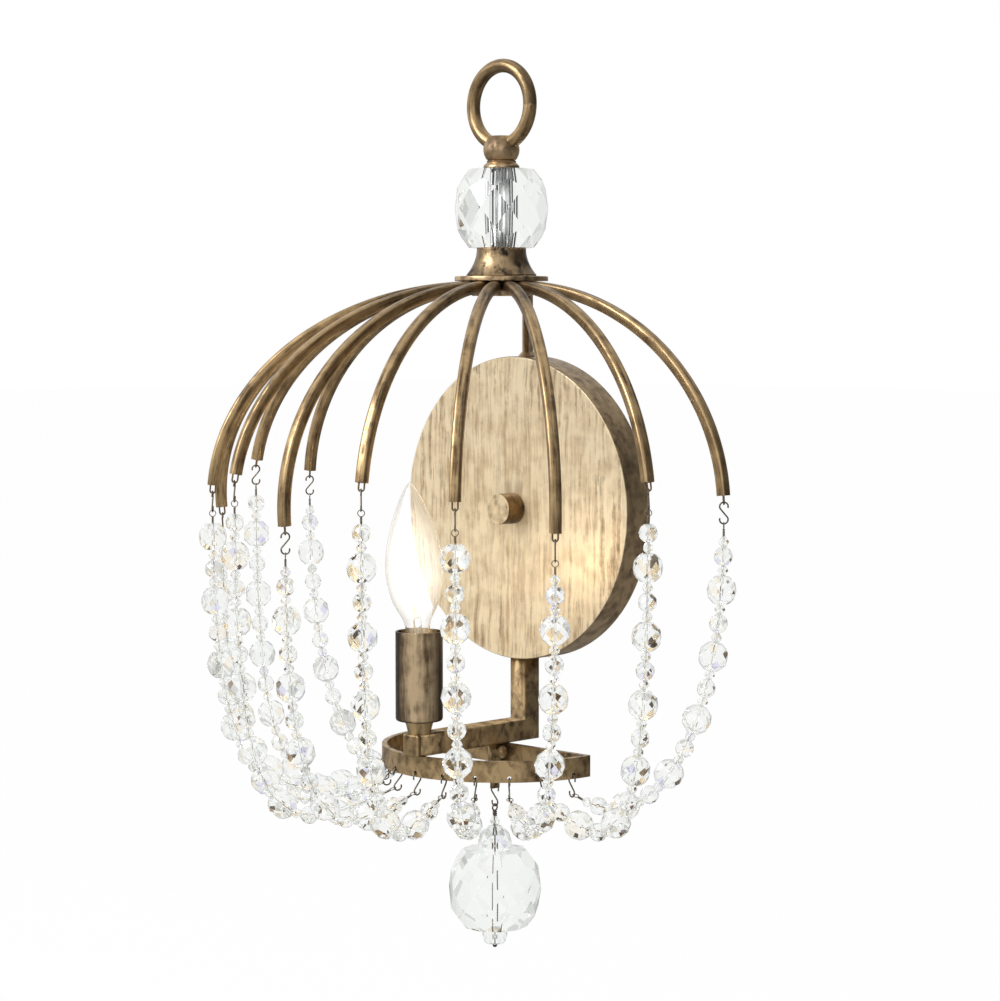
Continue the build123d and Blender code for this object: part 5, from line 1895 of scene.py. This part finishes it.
@dataclass
class Swag:
    """One bead strand with its thread, wrapped ends and two hooks; sizes in millimetres, angles in degrees.

    The strand hangs as a cubic curve. Its lower end leaves the hook at the foot angle, and the slack of the
    curve is fitted to the length of its beads.
    """

    shop: Workshop
    cage: ArmCage
    plan: StrandPlan
    beads: dict[int, Piece]
    ring_radius: float = 68.7
    ring_step: float = 16.0
    hole_height: float = -147.03
    eye_grip: float = 1.05
    hook_wire: float = 0.9
    thread: float = 0.5
    gap: float = 0.35
    loop_radius: float = 1.8
    loop_grip: float = 0.8
    wraps: float = 4.0
    foot_angle: float = 20.0
    foot_pull: float = 62.0
    top_pull: float = 0.89

    def fitted_curve(self, start: Vector, end: Vector, total: float) -> list[Vector]:
        """Finds the hanging curve of a given length.

        Args:
            start: upper end in the strand's plane, in millimetres.
            end: lower end.
            total: length along the curve.
        Returns:
            Points along the curve.
        """
        foot = math.radians(self.foot_angle)
        pull = Vector((math.cos(foot), -math.sin(foot))) * self.foot_pull
        fall = Vector((0.0, -self.top_pull * (start.y - end.y)))
        low, high = 0.0, 4.0
        curve: list[Vector] = []
        for _ in range(FIT_ROUNDS):
            slack = (low + high) / 2
            curve = self.bezier(start, start + fall * slack, end + pull * slack, end)
            size = sum((b - a).length for a, b in zip(curve, curve[1:]))
            low, high = (slack, high) if size < total else (low, slack)
        return curve

    def stations(self, start: Vector, end: Vector, lengths: Sequence[float]) -> list[Vector]:
        """Places along the hanging curve where one bead meets the next.

        Args:
            start: upper end in the strand's plane, in millimetres.
            end: lower end.
            lengths: bead lengths with their gap.
        Returns:
            The places, one more than there are beads.
        """
        curve = self.fitted_curve(start, end, sum(lengths))
        marks = [0.0]
        for length in lengths:
            marks.append(marks[-1] + length)
        places, run, index = [], 0.0, 0
        for mark in marks:
            while index < len(curve) - 2 and run + (curve[index + 1] - curve[index]).length < mark:
                run += (curve[index + 1] - curve[index]).length
                index += 1
            piece = curve[index + 1] - curve[index]
            places.append(curve[index] + piece * min(max((mark - run) / piece.length, 0.0), 1.0))
        return places

    @staticmethod
    def bezier(a: Vector, b: Vector, c: Vector, d: Vector) -> list[Vector]:
        """Points along a cubic curve from its four control points."""
        return [
            a * (1 - t) ** 3 + b * 3 * t * (1 - t) ** 2 + c * 3 * t * t * (1 - t) + d * t**3
            for t in shares(CURVE_STEPS)
        ]

    def string_beads(self, spots: Sequence[Vector], order: Sequence[int]) -> None:
        """Threads the beads of the strand.

        Args:
            spots: places where one bead meets the next, in metres.
            order: each bead's place in the repeating pattern.
        """
        body = self.plan.body
        mesh = bpy.data.meshes.new(f"{body}_cut_beads")
        pairs = list(zip(spots, spots[1:]))
        mesh.from_pydata([tuple((a + b) / 2) for a, b in pairs], [], [])
        ways = mesh.attributes.new("way", "FLOAT_VECTOR", "POINT")
        for number, (a, b) in enumerate(pairs):
            ways.data[number].vector = (b - a).normalized()
        kinds = mesh.attributes.new("kind", "FLOAT", "POINT")
        for number, place in enumerate(order):
            kinds.data[number].value = BEAD_PATTERN[place][0]
        crystal = self.shop.finish(BEAD_CRYSTAL)
        string = new_object(mesh.name, mesh, crystal)
        values = {
            "Large bead": self.beads[0],
            "Medium bead": self.beads[1],
            "Small bead": self.beads[2],
            "Seed": self.plan.number * SEED_SPACING,
            "Finish": crystal,
        }
        self.shop.settle(run_tree(string, self.shop.beads, values), body, f"{body}_beads")

    def loop(self, touch: Vector, way: Vector, side: Vector) -> list[Vector]:
        """Centre line of the wrapped loop at one end of the thread."""
        return loop_path(touch, way, side, self.loop_radius, self.thread, self.wraps, self.loop_grip)

    def build(self) -> None:
        """Builds beads, thread, loops and hooks of the strand."""
        plan, body = self.plan, self.plan.body
        upper_hook, lower_hook = HookShape(2.3), HookShape(2.9)
        crown = self.cage.eye_crown(plan) + UP * (self.eye_grip * MM)
        way = plan.hook_way
        low_azimuth = plan.step * self.ring_step
        low_way = outward(low_azimuth)
        low_crown = hub_point(self.ring_radius, low_azimuth, self.hole_height)
        top = upper_hook.foot(crown, way, 90.0)
        foot = lower_hook.foot(low_crown, low_way, self.foot_angle)
        level = Vector((top.x - foot.x, top.y - foot.y, 0)).normalized()
        slope = math.radians(self.foot_angle)
        away = level * math.cos(slope) - UP * math.sin(slope)
        reach = (2 * self.loop_radius - self.loop_grip + self.wraps) * MM
        plane = StrandPlane(Vector((foot.x, foot.y, 0)), level)
        order = [(plan.first + place) % len(BEAD_PATTERN) for place in range(plan.count)]
        lengths = [BEAD_PATTERN[place][1] + self.gap for place in order]
        places = self.stations(plane.flat(top - UP * reach), plane.flat(foot + away * reach), lengths)
        spots = [plane.solid(place) for place in places]
        self.string_beads(spots, order)
        loops = [self.loop(top, -UP, way.cross(UP)), self.loop(foot, away, low_way.cross(UP))]
        hooks = [upper_hook.path(crown, way), lower_hook.path(low_crown, low_way)]
        for label, paths, finish, wire, sides in (
            ("thread", [spots], BEAD_THREAD, self.thread, 7),
            ("loops", loops, LOOP_WIRE, self.thread, 8),
            ("hooks", hooks, DARK_WIRE, self.hook_wire, 10),
        ):
            piece = self.shop.sweep(f"{body}_{label}", paths, finish, wire * MM, sides=sides)
            self.shop.settle(piece, body, f"{body}_wires")


@dataclass
class Pendant:
    """S-hook, wire, cap bead, dome, large ball and end bead below the lower ring; sizes in millimetres."""

    shop: Workshop
    distance: float = 35.5
    crown_height: float = -161.6
    hook_wire: float = 0.9
    wire: float = 0.95
    loop_radius: float = 1.9
    loop_wire: float = 1.0
    grip: float = 1.05
    wraps: float = 3.2
    gap: float = 0.15

    def build(self) -> None:
        """Builds and dresses the pendant."""
        shop = self.shop
        axis = Vector((0, -self.distance, 0)) * MM
        hook = HookShape(2.9)
        side = Vector((1, 0, 0))
        crown = axis + UP * (self.crown_height * MM)
        path = hook.path(crown, side)
        piece = shop.sweep("pendant_s_hook", [path], DARK_WIRE, self.hook_wire * MM, sides=12)
        shop.settle(piece, "pendant_link", "pendant_hook")
        touch = hook.foot(crown, side, 90.0)
        height = touch.z / MM - (2 * self.loop_radius - self.grip + self.wraps) - self.gap
        wire_top = height + self.wraps
        middles = {}
        for bead in (CAP_BEAD, DOME_BEAD, PENDANT_BALL, END_BEAD):
            middles[bead.name] = height - bead.top
            height -= bead.top + bead.foot + self.gap
        loop = loop_path(
            touch, -UP, TOWARD_ROOM, self.loop_radius, self.loop_wire, self.wraps, self.grip, PENDANT_TURNS
        )
        straight = [axis + UP * wire_top * MM, axis + UP * (height - 1.0) * MM]
        wire = shop.sweep("pendant_twisted_wire", [loop, straight], DARK_WIRE, self.wire * MM, sides=12)
        shop.settle(wire, "pendant", "pendant_wire")
        knot = [(radius, height - below) for radius, below in KNOT_PROFILE]
        shop.turn("pendant_end_knot", knot, axis, DARK_WIRE, "pendant", "pendant_wire", angle=60, count=24)
        for seed, bead, finish, node in (
            (11, DOME_BEAD, BALL_CRYSTAL, "pendant_dome"),
            (12, PENDANT_BALL, BALL_CRYSTAL, "pendant_ball"),
            (13, CAP_BEAD, BEAD_CRYSTAL, "pendant_small_beads"),
            (14, END_BEAD, BEAD_CRYSTAL, "pendant_small_beads"),
        ):
            mesh = cut_piece(bead, seed, axis + UP * (middles[bead.name] * MM))
            shop.place(bead.name, mesh, finish, "pendant", node)


CARRIED = {
    "rear_stem": (GOLD_UPRIGHT, 35),
    "lower_bracket": (GOLD_LOWER, 35),
    "bracket_plug": (GOLD_LOWER, 35),
    "lower_ring": (GOLD_LOWER, 30),
    "pendant_boss": (GOLD_LOWER, 35),
    "crown_rod": (ZINC, 35),
    "mounting_bar": (ZINC, 35),
    "mounting_stud": (ZINC, 35),
    "ground_screw": (GREEN, 35),
    "lead_bushing": (BLACK_PLASTIC, 35),
    "socket_nipple": (ZINC, 35),
    "lamp_socket": (SOCKET_BODY, 35),
    "socket_contacts": (SOCKET_BRASS, 35),
    "socket_leads": (LEAD_COVER, 45),
    "lead_connectors": (CONNECTOR, 35),
    "bulb_filament": (HOT_FILAMENT, 45),
}


def dress_carried(shop: Workshop) -> None:
    """Gives each carried frame node a smooth-shaded copy with its own finish.

    Args:
        shop: the shared workshop.
    """
    carriers = shop.frame["record"]["behaviour"]["bodies"]
    bodies = {node: body for body, nodes in carriers.items() for node in nodes}
    for node, (finish, angle) in CARRIED.items():
        mesh = cleaned_copy(shop.frame["nodes"][node], angle)
        shop.place(f"{node}_dressed", mesh, finish, bodies[node], node)


# ---------------------------------------------------------------- studio


@dataclass
class Studio:
    """White floor, soft lamps, world and the camera at the photograph's angle."""

    azimuth: float = 44.34
    pitch: float = 4.0
    place: Triple = (1.1030, -1.1599, 0.1154)
    lens: float = 97.418
    floor_size: float = 14.0
    floor_height: float = -0.42
    floor_white: float = 0.97
    dark_side: Triple = (0.72, 0.40, -0.57)
    candle_power: float = 0.042
    candle_colour: Triple = (1.0, 0.74, 0.42)
    candle_place: Triple = (-0.0012, -0.0982, -0.040)
    flame_radius: float = 0.006
    room_strength: float = 0.85
    room_stops: Pairs = ((0.22, 1.0), (0.50, 0.62), (0.70, 0.14), (0.95, 0.05))
    glass_stops: Pairs = ((0.55, 1.0), (0.90, 0.50))

    def build(self) -> None:
        """Sets up everything around the object."""
        self.floor()
        self.world()
        self.lamps()
        self.camera()

    def floor(self) -> None:
        """A pale floor that keeps a faint shadow."""
        mesh = bpy.data.meshes.new("pale_floor")
        size, height = self.floor_size, self.floor_height
        corners = [(-size, -size, height), (size, -size, height), (size, size, height), (-size, size, height)]
        mesh.from_pydata(corners, [], [(0, 1, 2, 3)])
        material, row, shader, output = new_material("pale_floor_paint")
        tone = noise(row, row.object_place(), 3.0, 2.0)
        path = row.add("ShaderNodeLightPath")
        pale = row.mix(tone, (0.90, 0.90, 0.90), (0.93, 0.93, 0.93))
        paint = row.mix(path.outputs["Is Glossy Ray"], pale, (0.26, 0.25, 0.24))
        row.link(paint, shader.inputs["Base Color"])
        shader.inputs["Roughness"].default_value = 0.9
        seen = row.math("MAXIMUM", path.outputs["Is Camera Ray"], path.outputs["Is Transmission Ray"])
        white = row.add("ShaderNodeEmission", {"Color": WHITE})
        share = row.math("MULTIPLY", seen, self.floor_white)
        row.link(row.mix_shaders(share, shader.outputs[0], white.outputs[0]), output.inputs[0])
        new_object("pale_floor", mesh, material)

    def world(self) -> None:
        """White for the camera, with a darker room behind the camera for gloss and glass."""
        world = bpy.data.worlds.new("studio_world")
        world.use_nodes = True
        world.node_tree.nodes.clear()
        row = NodeRow(world.node_tree)
        output = row.add("ShaderNodeOutputWorld")
        path = row.add("ShaderNodeLightPath")
        way = row.add("ShaderNodeTexCoord").outputs["Generated"]
        turn = math.radians(self.azimuth)
        ahead = Vector((-math.sin(turn), math.cos(turn), 0))
        shade = row.ramp(self.toward(row, way, Vector(self.dark_side).normalized()), self.room_stops)
        through = row.ramp(self.toward(row, way, -ahead), self.glass_stops)
        room = row.add("ShaderNodeBackground", {0: shade, 1: self.room_strength})
        glassy = row.add("ShaderNodeBackground", {0: through, 1: 1.0})
        white = row.add("ShaderNodeBackground", {0: WHITE})
        unseen = row.mix_shaders(path.outputs["Is Transmission Ray"], room.outputs[0], glassy.outputs[0])
        row.link(row.mix_shaders(path.outputs["Is Camera Ray"], unseen, white.outputs[0]), output.inputs[0])
        bpy.context.scene.world = world

    @staticmethod
    def toward(row: NodeRow, way: Socket, aim: Sequence[float]) -> Socket:
        """How far a ray's direction agrees with an aim: 0 straight away from it, 1 straight at it.

        Args:
            row: where the nodes go.
            way: the ray's direction.
            aim: the aim, of length one.
        Returns:
            The agreement.
        """
        dot = row.vector_math("DOT_PRODUCT", {0: way, 1: aim}).outputs["Value"]
        return row.math("ADD", row.math("MULTIPLY", dot, 0.5), 0.5)

    def lamps(self) -> None:
        """One large key lamp, a low fill and the lit candle."""
        for name, spot, size, power in (
            ("key_lamp", (-0.75, -1.70, 1.30), 1.0, 30.0),
            ("fill_lamp", (1.5, -1.5, 0.5), 1.2, 4.0),
        ):
            data = bpy.data.lights.new(name, "AREA")
            data.size = size
            data.energy = power
            lamp = keep(bpy.data.objects.new(name, data))
            lamp.location = spot
            lamp.rotation_euler = Vector(spot).to_track_quat("Z", "Y").to_euler()
        data = bpy.data.lights.new("candle_light", "POINT")
        data.energy = self.candle_power
        data.color = self.candle_colour
        data.shadow_soft_size = self.flame_radius
        keep(bpy.data.objects.new("candle_light", data)).location = self.candle_place

    def camera(self) -> None:
        """The camera at the photograph's place and angle."""
        data = bpy.data.cameras.new("photo_camera")
        data.sensor_fit = "AUTO"
        data.sensor_width = 36.0
        data.lens = self.lens
        data.clip_start = 0.05
        data.clip_end = 60.0
        camera = keep(bpy.data.objects.new("photo_camera", data))
        camera.location = self.place
        camera.rotation_euler = (math.radians(90.0 - self.pitch), 0.0, math.radians(self.azimuth))
        bpy.context.scene.camera = camera


def bead_store(shop: Workshop) -> dict[int, Piece]:
    """Makes one of each bead to copy from.

    Args:
        shop: the shared workshop.
    Returns:
        The bead objects by kind: 0 large, 1 medium, 2 small.
    """
    store = {}
    for number, bead in enumerate((LARGE_BEAD, MEDIUM_BEAD, SMALL_BEAD)):
        store[number] = new_object(f"{bead.name}_pattern", bead.mesh(), shop.finish(BEAD_CRYSTAL))
    return store


def main() -> None:
    """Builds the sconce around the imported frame."""
    logging.basicConfig(level=logging.INFO, format="%(name)s: %(message)s")
    bpy.ops.wm.read_factory_settings(use_empty=True)
    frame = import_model()
    shop = Workshop(frame)
    cage = ArmCage(shop)
    Crown(shop).build()
    cage.build()
    BackPlate(shop).build()
    Candle(shop).build()
    store = bead_store(shop)
    for plan in STRANDS:
        Swag(shop, cage, plan, store).build()
    Pendant(shop).build()
    dress_carried(shop)
    for pattern in store.values():
        bpy.data.objects.remove(pattern)
    Studio().build()
    scene = bpy.context.scene
    scene.view_settings.view_transform = "Standard"
    log.info("sizes written")


if __name__ == "__main__":
    main()
